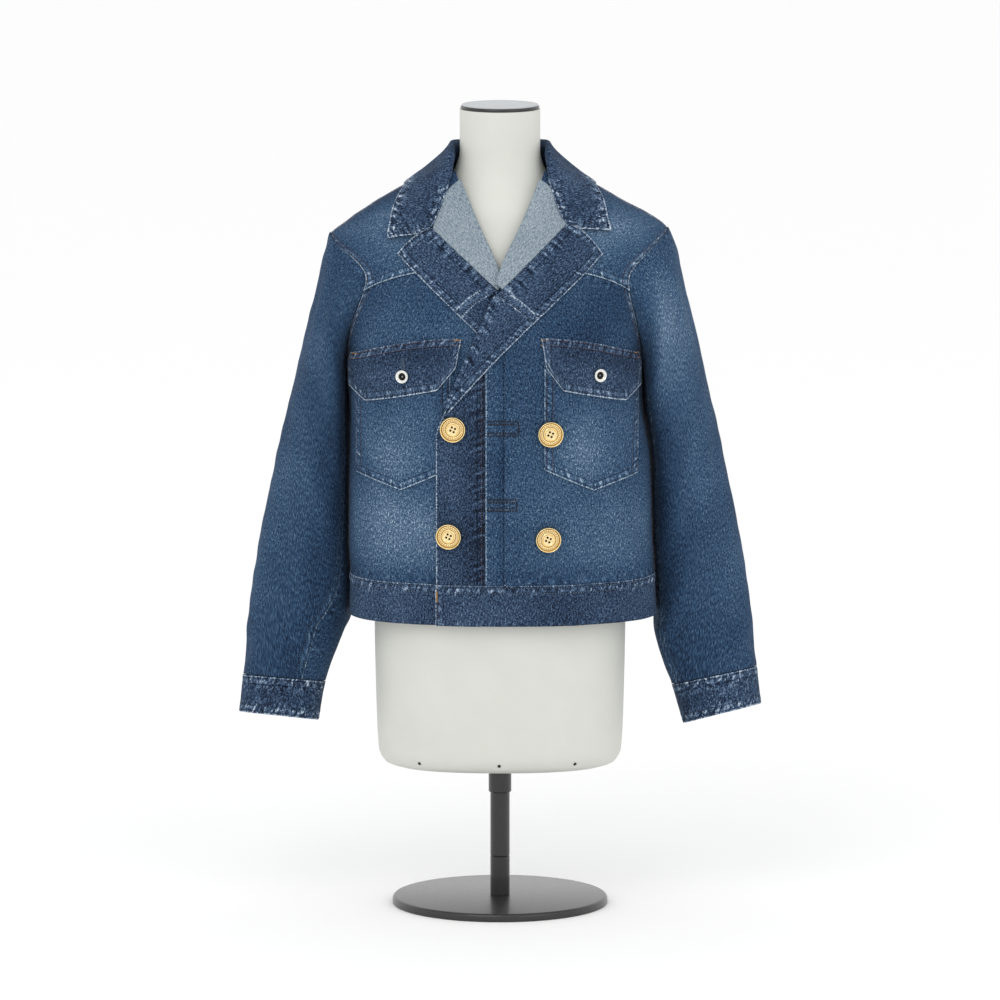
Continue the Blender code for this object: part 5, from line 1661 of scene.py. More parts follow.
@dataclass
class Lapels:
    """The fronts' turned-back tops: their pale reverse, and the bands beyond it."""

    roll_top: tuple[float, float] = (0.0505, 0.9205)
    corner: tuple[float, float] = (0.0840, 0.8660)
    tip: tuple[float, float] = (0.1265, 0.8315)
    top_bow: float = 0.0055
    meets_roll: tuple[float, float] = (-0.0068, 0.7800)
    outer_bow: float = 0.007
    facing_swell: float = 0.0085
    join_left: float = 0.535
    join_right: float = 0.585
    sewn: float = 0.46

    def rise(self, x: Array, height: Array, side: int) -> Array:
        """How far a turned-back piece lies outside the front's middle surface."""
        share = own_rise(side, x, height) / OVERLAP
        return LAPEL_RISE + (LAPEL_RISE_TOP - LAPEL_RISE) * share

    def turned_back(
        self,
        side: int,
        inner: tuple[Array, Array],
        outer: tuple[Array, Array],
        folded: Array,
        cols: int,
        bow: Array | float = 0.0,
        swell: Array | float = 0.0,
    ) -> Array:
        """A strip between two lines of (x, z) in front elevation, one row a place along them.

        Where a row is folded, its inner end follows a half circle round from the front that it
        is turned back from.

        Args:
            side: 1 for the wearer's left, -1 for the right.
            inner: x and z of the inner line.
            outer: x and z of the outer line.
            folded: whether each row is folded.
            cols: columns over the flat part.
            bow: how far each sewn row bows up in its middle.
            swell: how far each folded row bows out towards the shoulder in its middle.

        Returns:
            The grid, with rows rising.
        """
        curl = 9
        flat_shares = np.linspace(0.0, 1.0, cols)[None, :]
        turn = np.linspace(0.0, pi / 2, curl)[None, :-1]
        near = np.linspace(0.0, 0.08, curl)[:-1]
        sewn_shares = np.concatenate([near, 0.08 + 0.92 * flat_shares[0]])[None, :]
        (inner_x, inner_z), (outer_x, outer_z) = inner, outer
        sewn_x = inner_x + (outer_x - inner_x) * sewn_shares
        sewn_z = inner_z + (outer_z - inner_z) * sewn_shares
        sewn_z = sewn_z + bow * 4.0 * sewn_shares * (1.0 - sewn_shares)
        base = own_rise(side, inner_x, inner_z)
        radius = (self.rise(inner_x, inner_z, side) - base) / 2
        meeting = inner_x - 0.0010
        arch = swell * 4.0 * flat_shares * (1.0 - flat_shares)
        flat_x = inner_x + (outer_x - inner_x) * flat_shares + 0.87 * arch
        flat_z = inner_z + (outer_z - inner_z) * flat_shares + 0.49 * arch
        # a half circle round the fold, then a straight lead to the roll line
        round_x = meeting - radius * np.sin(2 * turn) + (inner_x - meeting) * turn * 2 / pi
        round_rise = base + radius * (1.0 - np.cos(2 * turn))
        curled_x = np.concatenate([round_x, flat_x], axis=1)
        curled_z = np.concatenate([inner_z + 0.0 * turn, flat_z], axis=1)
        curled_rise = np.concatenate([round_rise, self.rise(flat_x, flat_z, side)], axis=1)
        x = np.where(folded, curled_x, sewn_x)
        z = np.where(folded, curled_z, sewn_z)
        rise = np.where(folded, curled_rise, self.rise(sewn_x, sewn_z, side))
        return on_front(x, z, side, rise)[::-1, ::side]

    def facing(self, side: int) -> None:
        """The reverse of the front between its roll line and the band's seam."""
        along = np.linspace(0.012, 0.89, 86)[:, None]
        roll_z = self.roll_top[1] + (self.meets_roll[1] - self.roll_top[1]) * along
        corner_z = self.corner[1] + GORGE_LIFT * side
        edge_x = self.corner[0] + (self.meets_roll[0] - self.corner[0]) * along - 2 * SEAM
        edge_z = corner_z + (self.meets_roll[1] - corner_z) * along
        folded = np.full(along.shape, True)
        inner = (roll_x(roll_z), roll_z)
        swell = self.facing_swell * np.clip(1.0 - along / 0.4, 0.0, 1.0) ** 2
        grid = self.turned_back(side, inner, (edge_x, edge_z), folded, 22, 0.0, swell)
        edges = sided(side, Edging(0.7, 0.0), BARE)
        Cloth(
            f"lapel_{word(side)}", grid, "reverse_denim", Finish.REVERSE, Finish.BODY, OVERLAY,
            edges, unevenness=0.00015, seed=37 + side, hangs_from=(f"front_yoke_{word(side)}",),
            group="lapels",
        ).build()

    def band(self, side: int) -> None:
        """The turned-back front band, from the neck edge down to where it turns over."""
        top = np.linspace(0.0, 1.0, 78) * self.sewn
        along = np.concatenate([top, np.linspace(self.sewn + 0.012, 0.92, 76)])[:, None]
        outer_x = self.tip[0] + (-BAND_OUT - self.tip[0]) * along
        bow = self.outer_bow * np.sin(pi * along**1.5)
        outer_z = self.tip[1] + (BREAK - self.tip[1]) * along + bow
        sewn = np.clip(along / self.sewn, 0.0, 1.0)
        beyond = np.clip((along - self.sewn) / (1.0 - self.sewn), 0.0, 1.0)
        corner_z = self.corner[1] + GORGE_LIFT * side
        seam_z = corner_z + (self.meets_roll[1] - corner_z) * sewn
        seam_x = self.corner[0] + (self.meets_roll[0] - self.corner[0]) * sewn
        inner_z = seam_z + (BREAK - self.meets_roll[1]) * beyond
        folded = along > self.sewn + 0.001
        passing = 0.0020 * smooth_step(0.93, 1.0, sewn)
        inner_x = np.where(folded, roll_x(inner_z), seam_x - passing)
        top_bow = self.top_bow * np.clip(1.0 - along / 0.3, 0.0, 1.0) ** 2
        inner, outer = (inner_x, inner_z), (outer_x, outer_z)
        grid = self.turned_back(side, inner, outer, folded, 32, top_bow)
        gathered = Edging(0.15, 0.0004, ONE_ROW, Finish.PALE_THREAD, 0.020, 0.0105)
        edges = sided(side, gathered, TURNED_ONE)
        edges |= {Side.TOP: TURNED}
        patches = (Patch(0.5, 0.5, 0.3, 0.6, 0.12),)
        join = Join(self.join_left if side > 0 else self.join_right)
        Cloth(
            f"lapel_band_{word(side)}", grid, "dark_denim", Finish.DARK, Finish.BODY, OVERLAY,
            edges, patches, seed=41 + side, hangs_from=(f"lapel_{word(side)}",), group="lapels",
            joins=(join,),
        ).build()

    def build(self) -> None:
        """Makes both sides."""
        for side in (1, -1):
            self.facing(side)
            self.band(side)


@dataclass
class CollarPiece:
    """The turned-down collar on its stand."""

    knots: tuple[float, ...] = (0.0, 0.24, 0.30, 0.36, 0.67, 1.0)
    fold_height: float = 0.0040
    fold_width: float = 0.0056
    stand_lean: float = 0.0085
    tip_turn: float = 2.6  # degrees by which the wearer's right tip lies nearer the middle
    eased_from: tuple[float, float] = (0.42, 0.52)
    eased_to: tuple[float, float] = (0.84, 0.94)
    passes: int = 140

    def path(self, spots: Array) -> Array:
        """Six points of each section: seam, top of the stand, fold, top and middle of the fall,
        and edge. Towards the ends the stand shrinks until the collar lies flat.

        Args:
            spots: places from the right end, -1, to the left end, 1.

        Returns:
            Points of shape (6, spots, 3).
        """
        far = np.abs(spots)
        side = np.where(spots < 0, -1.0, 1.0)
        seam_angle = side * np.radians(column(COLLAR, "seam_angle", far))
        fronts = side * smooth_step(0.70, 0.92, far)
        drawn_in = np.where(spots < 0, self.tip_turn, 0.0) * np.abs(fronts)
        edge_angle = side * np.radians(column(COLLAR, "edge_angle", far) - drawn_in)
        seam_z = column(COLLAR, "seam_z", far) + GORGE_LIFT * fronts
        edge_z = column(COLLAR, "edge_z", far) + COLLAR_TIP_LIFT * fronts
        rise = column(COLLAR, "rise", far)
        stand_height = column(COLLAR, "stand", far)[:, None]
        seam = body(seam_angle, seam_z, rise * smooth_step(0.58, 0.68, far))
        edge = body(edge_angle, edge_z, rise)
        outward = (edge - seam) * np.array([1.0, 1.0, 0.0])
        outward /= np.linalg.norm(outward, axis=1, keepdims=True)
        up = np.array([0.0, 0.0, 1.0])
        belly = column(COLLAR, "belly", far)[:, None]
        stand_top = seam + (stand_height - self.fold_height) * up - outward * self.stand_lean
        fold = stand_top + self.fold_height * up + outward * self.fold_width / 2
        fall = stand_top + outward * self.fold_width
        middle = fall * 0.5 + edge * 0.5 + outward * belly
        standing = np.stack([seam, stand_top, fold, fall, middle, edge])
        share = np.array(self.knots)[:, None]
        lying = body(
            seam_angle + (edge_angle - seam_angle) * share,
            seam_z + (edge_z - seam_z) * share,
            rise + 0.0012 * np.sin(pi * share),
        )
        return lying + (standing - lying) * smooth_step(0.004, 0.025, stand_height)

    def build(self) -> None:
        """Makes the collar: a cubic through each section's six points."""
        spots = np.linspace(-1.0, 1.0, 321)
        knots = np.array(self.knots)
        path = self.path(spots)
        beside = np.abs(spots[1:-1])
        eased = smooth_step(*self.eased_from, beside) - smooth_step(*self.eased_to, beside)
        ease = 0.25 * eased[:, None]
        for _ in range(self.passes):  # evens the sections out where the stand runs out
            path[:, 1:-1] += ease * (path[:, 2:] - 2.0 * path[:, 1:-1] + path[:, :-2])
        stand = np.linspace(0.0, 0.24, 9)[:-1]
        fold = np.linspace(0.24, 0.36, 9)[:-1]
        fall = 0.36 + 0.64 * graded(0.062, 0.0026, 0.0015, (False, True))
        across = np.concatenate([stand, fold, fall])
        slopes = np.gradient(path, knots, axis=0)
        grid = cubic(knots, path, slopes, across)[::-1, ::-1]
        puckered = Edging(1.0, 0.00040, TWIN_ROWS, Finish.BLUE_THREAD, 0.019, 0.0080)
        gorge = Edging(0.6, 0.00030, TWIN_ROWS, reach=0.017, period=0.0075, ends=0.155)
        edges = {
            Side.BOTTOM: puckered, Side.LEFT: puckered, Side.RIGHT: puckered, Side.TOP: gorge,
        }
        distance_up = measured(grid)[1]
        flat = np.clip((0.040 - distance_up) / 0.02, 0.0, 1.0)
        flat = np.maximum(flat, smooth_step(0.72, 0.84, np.abs(spots))[None, :])
        Cloth(
            "collar", grid, "dark_denim", Finish.PUCKERED, Finish.DARK, DOUBLE, edges,
            (Patch(0.5, 0.3, 2.0, 0.4, 0.08),), seed=47, flat_relief=flat, paired=True,
            hangs_from=("back_yoke", "front_yoke_left", "front_yoke_right"), group="collar",
        ).build()


# ---------------------------------------------------------------- sleeves
@dataclass
class Sleeves:
    """The two two-piece sleeves and their cuffs."""

    rows: int = 184
    nestle: float = 0.0105
    nestle_angle: float = -148.0
    nestle_width: float = 21.0
    allowance: tuple[tuple[float, float], ...] = (
        (0.0046, 0.0100),
        (0.0043, 0.0060),
        (0.0038, 0.0030),
        (0.0024, 0.0006),
    )

    def with_allowance(self, side: int, grid: Array) -> Array:
        """Adds the seam allowance that turns in under the body's armhole edge.

        Each of its rows is the first ring moved towards the armhole's middle line and then
        inwards, by the two distances of a row of the table.

        Args:
            side: 1 for the wearer's left, -1 for the right.
            grid: the sleeve's points, from the armhole down.

        Returns:
            The grid with the allowance before it.
        """
        first = grid[0]
        towards = np.array([0.0, 0.0, ARMHOLE_MIDDLE]) - first * np.array([0.0, 1.0, 1.0])
        towards /= np.linalg.norm(towards, axis=1, keepdims=True)
        inwards = np.array([-float(side), 0.0, 0.0])
        rows = [first + towards * under + inwards * across for under, across in self.allowance]
        return np.concatenate([np.stack(rows), grid])

    def point(self, side: int, spot: Array, turn: Array) -> Array:
        """Points of a sleeve.

        Each ring is a superellipse between an outer and an inner edge; near the armhole the
        rings lean onto the cut edge of the body.

        Args:
            side: 1 for the wearer's left, -1 for the right.
            spot: place down the sleeve, 0 at the armhole and 11 at the cuff's edge.
            turn: angle from its outer edge round its front.

        Returns:
            The points.
        """
        spot, turn = np.broadcast_arrays(np.asarray(spot, float), np.asarray(turn, float))
        centre_y = column(SLEEVE, "centre_y", spot)
        outer_x, outer_z = column(SLEEVE, "outer_x", spot), column(SLEEVE, "outer_z", spot)
        inner_z = column(SLEEVE, "inner_z", spot)
        off = column(SLEEVE, "off_left" if side > 0 else "off_right", spot)
        inner_x = side_of_body(side, 0.0, inner_z) + off
        at_cuff = smooth_step(8.0, 10.0, spot)
        outer_z = outer_z + CUFF_OUTER_LIFT[side] * at_cuff
        inner_z = inner_z + CUFF_INNER_LIFT[side] * at_cuff
        upper = np.clip(spot, 0, 1) * (1 - smooth_step(3, 6, spot))
        outer_x = outer_x + side * UPPER_ARM_SHIFT * upper
        started = np.clip(spot / 2.0, 0.0, 1.0)
        cos = signed_power(np.cos(turn), 1.0 - 0.1 * started)
        sin = signed_power(np.sin(turn), 1.1 - 0.2 * started)
        taper = 1.0 - ARMHOLE_TAPER * (1.0 - started) * (1.0 - np.cos(turn)) / 2.0
        x = (outer_x + inner_x) / 2 + (outer_x - inner_x) / 2 * cos
        z = (outer_z + inner_z) / 2 + (outer_z - inner_z) / 2 * cos
        y = centre_y - column(SLEEVE, "half_depth", spot) * sin * taper
        z = z + CUFF_FRONT_LIFT * np.sin(turn) * smooth_step(6.5, 10.0, spot)
        first_z = ARMHOLE_MIDDLE + ARMHOLE_HALF * np.cos(turn)
        first_y = -np.sign(np.sin(turn)) * armhole_depth(np.abs(turn))
        edge_x = side_of_body(side, first_y, first_z)
        tip_x, underarm_x = SLEEVE[0].outer_x, side_of_body(side, 0.0, UNDERARM)
        flat_x = (tip_x + underarm_x) / 2 + (tip_x - underarm_x) / 2 * np.cos(turn)
        low, high = SLEEVE_SEAM_GAP
        gap = low + (high - low) * (1 - np.cos(turn)) / 2
        fade = np.clip(1.0 - spot / 2.6, 0.0, 1.0) ** 2
        x = x + (edge_x - flat_x) * fade + gap * np.clip(1.0 - spot, 0.0, 1.0)
        depth = fold_depth(SLEEVE_FOLDS, spot, np.degrees(turn))
        depth = depth * smooth_step(0.3, 1.2, spot) * (1.0 - smooth_step(9.7, 10.0, spot))
        # behind the body's side the sleeve swells towards it, so no light comes between them
        beside = (np.degrees(turn) - self.nestle_angle + 180.0) % 360.0 - 180.0
        nestled = smooth_step(0.3, 2.4, spot) * (1.0 - smooth_step(8.0, 9.0, spot))
        depth = depth + self.nestle * nestled * bump(beside, 0.0, self.nestle_width)
        x = x + depth * np.cos(turn)
        y = y - depth * np.sin(turn)
        return np.stack([side * x, y, z], axis=-1)

    def even_spots(self, side: int, end: float, count: int) -> Array:
        """Places down the sleeve, spaced evenly along its outer edge, as a column."""
        fine = np.linspace(0.0, end, 600)
        run = run_along(self.point(side, fine, np.zeros_like(fine) + 0.6))
        return np.interp(np.linspace(0.0, run[-1], count), run, fine)[:, None]

    def sleeve(self, side: int) -> None:
        """The upper and the under sleeve of one side."""
        spots = self.even_spots(side, 9.985, self.rows)
        front = np.radians(column(UNDER_SEAMS[side], "front", spots))
        back = np.radians(column(UNDER_SEAMS[side], "back", spots))
        gap = SEAM / 2 / 0.030
        share = graded(0.26, 0.0034, 0.0018, (True, True))[None, :]
        upper = back + gap + (front - back - 2 * gap) * share
        grid = self.with_allowance(side, self.point(side, spots, upper)[:, ::side])
        head = Edging(0.0, 0.0002, (), reach=0.018)
        seam = Edging(0.75, 0.0004, TWIN_ROWS)
        # seen from outside, a sleeve's grid runs down, so its last row is at the cuff
        edges = {Side.LEFT: seam, Side.RIGHT: seam, Side.BOTTOM: head}
        forward = 0.22 * side  # its front is that far beside its middle
        # the two dark patches along both sides are painted shade where the sleeve turns away
        patches = (
            Patch(0.5 + forward, 0.17, 0.20, 0.15, 0.85 if side > 0 else 0.20),
            Patch(0.5 + forward, 0.50, 0.14, 0.20, 0.20),
            Patch(0.5 + forward / 2, 0.62, 0.10, 0.20, 0.20),
            Patch(0.5 + forward, 0.82, 0.30, 0.10, 0.15),
            Patch(0.05, 0.5, 0.10, 0.8, -0.25),
            Patch(0.95, 0.5, 0.10, 0.8, -0.25),
        )
        Cloth(
            f"sleeve_upper_{word(side)}", grid, "denim", Finish.SLEEVE, edges=edges,
            patches=patches, seed=53 + side, unevenness=0.0004, group=f"sleeve_{word(side)}",
            hangs_from=(f"front_yoke_{word(side)}", "back_yoke"),
        ).build()
        spread = 2 * pi + back - front - 2 * gap
        share = graded(0.09, 0.0036, 0.0020, (True, True))[None, :]
        under = (front + gap + spread * share + pi) % (2 * pi) - pi
        grid = self.with_allowance(side, self.point(side, spots, under)[:, ::side])
        edges = {Side.LEFT: Edging(0.2, 0.0002), Side.RIGHT: Edging(0.2, 0.0002)}
        Cloth(
            f"sleeve_under_{word(side)}", grid, "denim", Finish.SLEEVE, edges=edges,
            seed=59 + side, group=f"sleeve_{word(side)}",
            hangs_from=(f"sleeve_upper_{word(side)}",),
        ).build()

    def cuff(self, side: int) -> None:
        """One cuff, a closed band round the wrist."""
        turns = np.linspace(-pi, pi, 150, endpoint=False)[None, :]
        share = graded(0.046, 0.0030, 0.0016, (True, True))[:, None]
        spots = CUFF_PLACE + (SLEEVE_END - CUFF_PLACE) * share + 0.012
        grid = self.point(side, spots, turns)[:, ::side]
        edges = {
            Side.TOP: Edging(0.8, 0.00045, TWIN_ROWS, Finish.BLUE_THREAD, 0.016, 0.0070),
            Side.BOTTOM: Edging(0.6, 0.0003, (0.0035,), reach=0.010),
        }
        Cloth(
            f"cuff_{word(side)}", grid, "dark_denim", Finish.PUCKERED, Finish.DARK, DOUBLE, edges,
            seed=61 + side, closed=True, group=f"sleeve_{word(side)}",
            hangs_from=(f"sleeve_upper_{word(side)}",),
        ).build()

    def build(self) -> None:
        """Makes both sleeves and both cuffs."""
        for side in (1, -1):
            self.sleeve(side)
            self.cuff(side)


# ---------------------------------------------------------------- pockets
@dataclass
class Pockets:
    """The breast pockets, their flaps, and the sewing on them."""

    slit_length: float = 0.0135
    slit_half: float = 0.0010
    tack_shares: tuple[float, float] = (0.035, 0.955)
    tack_below: float = 0.0022
    tack_gap: float = 0.0062
    tack_length: float = 0.0085
    bar_pitch: float = 0.0006
    bar_half: float = 0.0009

    def foot(self, corners: list[Corner], shares: Array) -> Array:
        """Height of a lower outline at shares along the span, straight between its corners."""
        at = [corner.share for corner in corners]
        return np.interp(shares, at, [corner.height for corner in corners])

    def top(self, share: Array) -> Array:
        """Height of the flap's seam at a share along the span."""
        return FLAP_TOP - FLAP_SLOPE * share**2

    def patch(self, side: int, span: Span, share: Array, height: Array, rise: Array) -> Array:
        """Points on the front at shares of a span, with rows rising."""
        x = span.inner + (span.outer - span.inner) * share
        rise = rise + own_rise(side, x, height)
        return body(angle_at(x, height), height, rise)[::-1, ::side]

    def evenly_round(self, low: float, high: float, shares: Array) -> Array:
        """Shares of a span spaced evenly round the body, which turns away at its outer end."""
        steepest = 1.2
        return low + (high - low) * np.sin(shares * steepest) / np.sin(steepest)

    def flap(self, side: int) -> None:
        """One flap, its buttonhole and its bar tacks."""
        inner_part = np.linspace(0.0, 0.55, 44)[:-1]
        across = np.concatenate([inner_part, self.evenly_round(0.55, 1.0, np.linspace(0, 1, 42))])
        corners = [corner.share for corner in FLAP_FOOT]
        foot_share = np.interp(across, [0.0, 0.2, 0.874, 1.0], corners)
        down = graded(FLAP_DEPTH, 0.0016, 0.0014, (True, True))[:, None]
        share = across + (foot_share - across) * down
        height = self.top(across) + (self.foot(FLAP_FOOT, foot_share) - self.top(across)) * down
        climbed = smooth_step(0.0, FLAP_CLIMB, down)
        rise = FLAP_RISE[0] + (FLAP_RISE[1] - FLAP_RISE[0]) * climbed
        grid = self.patch(side, FLAP_SPAN[side], share, height, rise)
        hem = Edging(1.2, 0.00024, TWIN_ROWS, Finish.BLUE_THREAD, 0.0150, 0.0070)
        ends = Edging(1.0, 0.0003, TWIN_ROWS)
        sewn_on = Edging(0.45, 0.0003, (0.0025, 0.0090), Finish.BROWN_THREAD)
        edges = {Side.LEFT: ends, Side.RIGHT: ends, Side.BOTTOM: hem, Side.TOP: sewn_on}
        patches = (Patch(0.5, 0.72, 0.5, 0.14, -0.30), Patch(0.45, 0.40, 0.25, 0.2, 0.15))
        Cloth(
            f"pocket_flap_{word(side)}", grid, "dark_denim", Finish.DARK, Finish.DARK, OVERLAY,
            edges, patches, seed=67 + side, hangs_from=(f"front_panel_{word(side)}",),
            group=f"pocket_{word(side)}",
        ).build()
        self.tacks(side)

    def tacks(self, side: int) -> None:
        """Bar tacks at the flap's top corners, and the buttonhole above its button."""
        span = FLAP_SPAN[side]
        group = f"pocket_{word(side)}"
        for share in self.tack_shares:
            x = span.inner + (span.outer - span.inner) * share
            top = self.top(np.array(share)) - self.tack_below
            for drop in (0.0, self.tack_gap):
                self.bar(group, side, x, top - drop, self.tack_length, 0.0, Finish.TAN_THREAD)
        x, height = FLAP_BUTTONS[side]
        slit = height + FLAP_LIP + self.slit_length / 2
        for lip in (x - self.slit_half, x + self.slit_half):
            self.bar(group, side, lip, slit, self.slit_length, pi / 2, Finish.BLUE_THREAD)

    def bar(
        self, group: str, side: int, x: float, height: float, length: float, tilt: float,
        thread: Finish,
    ) -> None:
        """A bar of close parallel stitches across its own length.

        Args:
            group: the piece of stitches that it goes into.
            side: which front it is on.
            x: its middle.
            height: its middle's height.
            length: its length.
            tilt: its angle from level.
            thread: its thread.
        """
        count = max(4, int(length / self.bar_pitch))
        along = (np.arange(count) / (count - 1) - 0.5) * length
        half = self.bar_half
        cos, sin = np.cos(tilt), np.sin(tilt)
        start = np.stack([x + along * cos - half * sin, height + along * sin - half * cos], axis=1)
        end = np.stack([x + along * cos + half * sin, height + along * sin + half * cos], axis=1)
        span = FLAP_SPAN[side]
        top = float(self.top(np.array((x - span.inner) / (span.outer - span.inner))))
        down = np.clip((top - height) / FLAP_DEPTH, 0.0, 1.0)
        near_seam, below = (rise + OVERLAY / 2 + 0.0001 for rise in FLAP_RISE)
        rise = near_seam + (below - near_seam) * float(smooth_step(0.0, FLAP_CLIMB, down))
        ends = []
        for spot in (start, end):
            lift = rise + own_rise(side, spot[:, 0], spot[:, 1])
            ends.append(body(angle_at(spot[:, 0], spot[:, 1]), spot[:, 1], lift))
        _, normal = section_point(JACKET, angle_at(start[:, 0], start[:, 1]), start[:, 1])
        points = lift_shoulder(np.stack(ends, axis=1))
        STITCHES.add_stitch(group, thread, points, normal)

    def pocket(self, side: int) -> None:
        """One patch pocket, pointed at its foot."""
        lowest = POCKET_FOOT[1].share
        outer = self.evenly_round(lowest, 1.0, np.linspace(0.0, 1.0, 36))
        share = np.concatenate([np.linspace(0, lowest, 38)[:-1], outer])
        top = self.top(share) - POCKET_BELOW_SEAM
        down = graded(0.165, 0.0019, 0.0015, (False, True))[:, None]
        height = top + (self.foot(POCKET_FOOT, share) - top) * down
        share = share + 0.0 * height
        grid = self.patch(side, POCKET_SPAN[side], share, height, POCKET_RISE)
        seam = Edging(0.80, 0.00028, (0.0030, 0.0110), Finish.BROWN_THREAD)
        foot = Edging(1.10, 0.00030, (0.0030, 0.0110), Finish.BLUE_THREAD)
        edges = {Side.LEFT: seam, Side.RIGHT: seam, Side.BOTTOM: foot}
        # the dark patch at the top, just under the flap's hem, is the flap's painted shadow
        patches = (
            Patch(0.45, 0.28, 0.32, 0.30, 0.75),
            Patch(0.5, 0.90, 0.6, 0.10, -0.35),
            Patch(0.0, 0.5, 0.10, 0.6, -0.35),
            Patch(1.0, 0.5, 0.10, 0.6, -0.35),
            Patch(0.5, 0.0, 0.6, 0.06, -0.35),
        )
        Cloth(
            f"pocket_{word(side)}", grid, "denim", Finish.POCKET, Finish.REVERSE, OVERLAY, edges,
            patches, seed=71 + side, hangs_from=(f"front_panel_{word(side)}",),
            group=f"pocket_{word(side)}",
        ).build()

    def build(self) -> None:
        """Makes both pockets and both flaps."""
        for side in (1, -1):
            self.pocket(side)
            self.flap(side)


# ---------------------------------------------------------------- buttons
@dataclass
class Buttons:
    """Four large gold shank buttons, and a small nickel one on each flap."""

    gold_radius: float = 0.0165
    silver_radius: float = FLAP_LIP
    gold_thick: float = 0.0055
    silver_thick: float = 0.0040
    shank: float = 0.0018  # from the cloth's middle surface to a button's back
    hole_radius: float = 0.00125
    hole_spread: float = 0.0031
    hole_turn: float = 0.35  # radians by which the holes' diamond is turned
    dots: int = 26
    gold_around: int = 120
    silver_around: int = 72

    def seat(self, x: float, height: float, rise: float) -> tuple[Array, Array]:
        """Where a button sits on the front, and its axes: across, up and outward.

        Args:
            x: its place across.
            height: its height.
            rise: how far outside the body's middle surface it sits.

        Returns:
            The point, and the three unit axes as rows.
        """
        angle = angle_at(np.array([x]), np.array([height]))
        _, normal = section_point(JACKET, angle, np.array([height]))
        across = np.cross([0.0, 0.0, 1.0], normal[0])
        across = -across / np.linalg.norm(across)
        across = across if across[0] > 0 else -across
        up = np.cross(normal[0], across)
        up = up if up[2] > 0 else -up
        return body(angle, np.array([height]), rise)[0], np.stack([across, up, normal[0]])

    def face(self, radius: float, thick: float, gold: bool) -> tuple[Array, Array]:
        """Rings of a button and how deep each point lies, from 0 on top to 1 in a pit.

        The face's height is a sum of smooth steps and bumps of its radius, a ring of raised
        dots, and four round holes in a diamond.

        Args:
            radius: the button's radius.
            thick: its thickness.
            gold: whether it is a large button with holes and dots.

        Returns:
            The rings in the button's own axes, and the depths.
        """
        share = np.concatenate([np.linspace(0.012, 0.60, 40), np.linspace(0.615, 1.0, 30)])[:, None]
        around = self.gold_around if gold else self.silver_around
        turn = np.linspace(0.0, 2 * pi, around, endpoint=False)[None, :]
        x, y = share * radius * np.cos(turn), share * radius * np.sin(turn)
        rim = bump(share, 0.92, 0.055)
        edge = smooth_step(1.0, 0.955, share)
        if gold:
            dish = 0.30 * (1.0 - smooth_step(0.34, 0.44, share))
            ring = 0.16 * bump(share, 0.47, 0.030)
            dots = 0.20 * bump(share, 0.70, 0.060) * (0.5 + 0.5 * np.cos(self.dots * turn)) ** 2
            grooves = bump(share, 0.56, 0.020) + bump(share, 0.83, 0.020)
            between = bump(share, 0.70, 0.075) - 4.0 * dots
            height = 0.62 + 0.38 * rim + ring + dots - 0.62 * dish - 0.10 * grooves
            depth = 0.05 + 0.75 * grooves + 0.45 * np.clip(between, 0.0, 1.0) + 0.35 * dish
            for k in range(4):
                at = k * pi / 2 + self.hole_turn
                aside, above = self.hole_spread * np.cos(at), self.hole_spread * np.sin(at)
                away = np.hypot(x - aside, y - above)
                hole = 1.0 - smooth_step(0.75, 1.15, away / self.hole_radius)
                height = height - 0.42 * hole
                depth = depth + 1.2 * hole
        else:
            nub = bump(share, 0.0, 0.22)
            bowl = 1.0 - smooth_step(0.36, 0.62, share)
            height = 0.78 + 0.22 * rim - 0.55 * bowl + 0.34 * nub
            depth = 1.15 * bowl - 0.8 * nub + 0.12 * (1.0 - rim)
            height, depth = height + 0.0 * turn, depth + 0.0 * turn
        height = 0.30 + (height - 0.30) * edge
        front = np.stack([x, y, thick * height], axis=-1)
        shank = [(0.985, 0.20), (0.93, 0.16), (0.36, 0.14), (0.34, 0.0), (0.02, 0.0)]
        back = lathe([(radius * r, thick * z) for r, z in shank], around)
        depths = np.concatenate([np.clip(depth, 0.0, 1.0), np.full((len(shank), around), 0.5)])
        return np.concatenate([front, back]), depths

    def fasten(self, node: str, spot: tuple[float, float], rise: float, gold: bool) -> None:
        """Makes one button on its seat.

        Args:
            node: the CAD node that it stands for.
            spot: its place across and its height.
            rise: how far outside the body's middle surface it sits.
            gold: whether it is a large gold one.
        """
        radius = self.gold_radius if gold else self.silver_radius
        rings, depth = self.face(radius, self.gold_thick if gold else self.silver_thick, gold)
        centre, axes = self.seat(*spot, rise)
        finish = Finish.GOLD if gold else Finish.SILVER
        made = spun(node + "_turned", rings @ axes + centre, finish, 50.0)
        # the depth darkens the plating in its hollows and holes as painted shade
        give_attribute(made, "depth", np.concatenate([depth.ravel(), [1.0 - gold, 0.5]]))
        keep(made, (node,))

    def build(self) -> None:
        """Makes all six buttons."""
        for node, (x, height) in GOLD_BUTTONS.items():
            rise = float(overlap_rise(np.array(x), np.array(height))) + self.shank
            if node == "front_button_upper_left":  # it stands on the pocket's edge
                rise += POCKET_RISE
            self.fasten(node, (x, height), rise, True)
        for side, (x, height) in FLAP_BUTTONS.items():
            rise = FLAP_RISE[1] + self.shank
            rise += float(own_rise(side, np.array(x), np.array(height)))
            self.fasten(f"flap_button_{word(side)}", (x, height), rise, False)


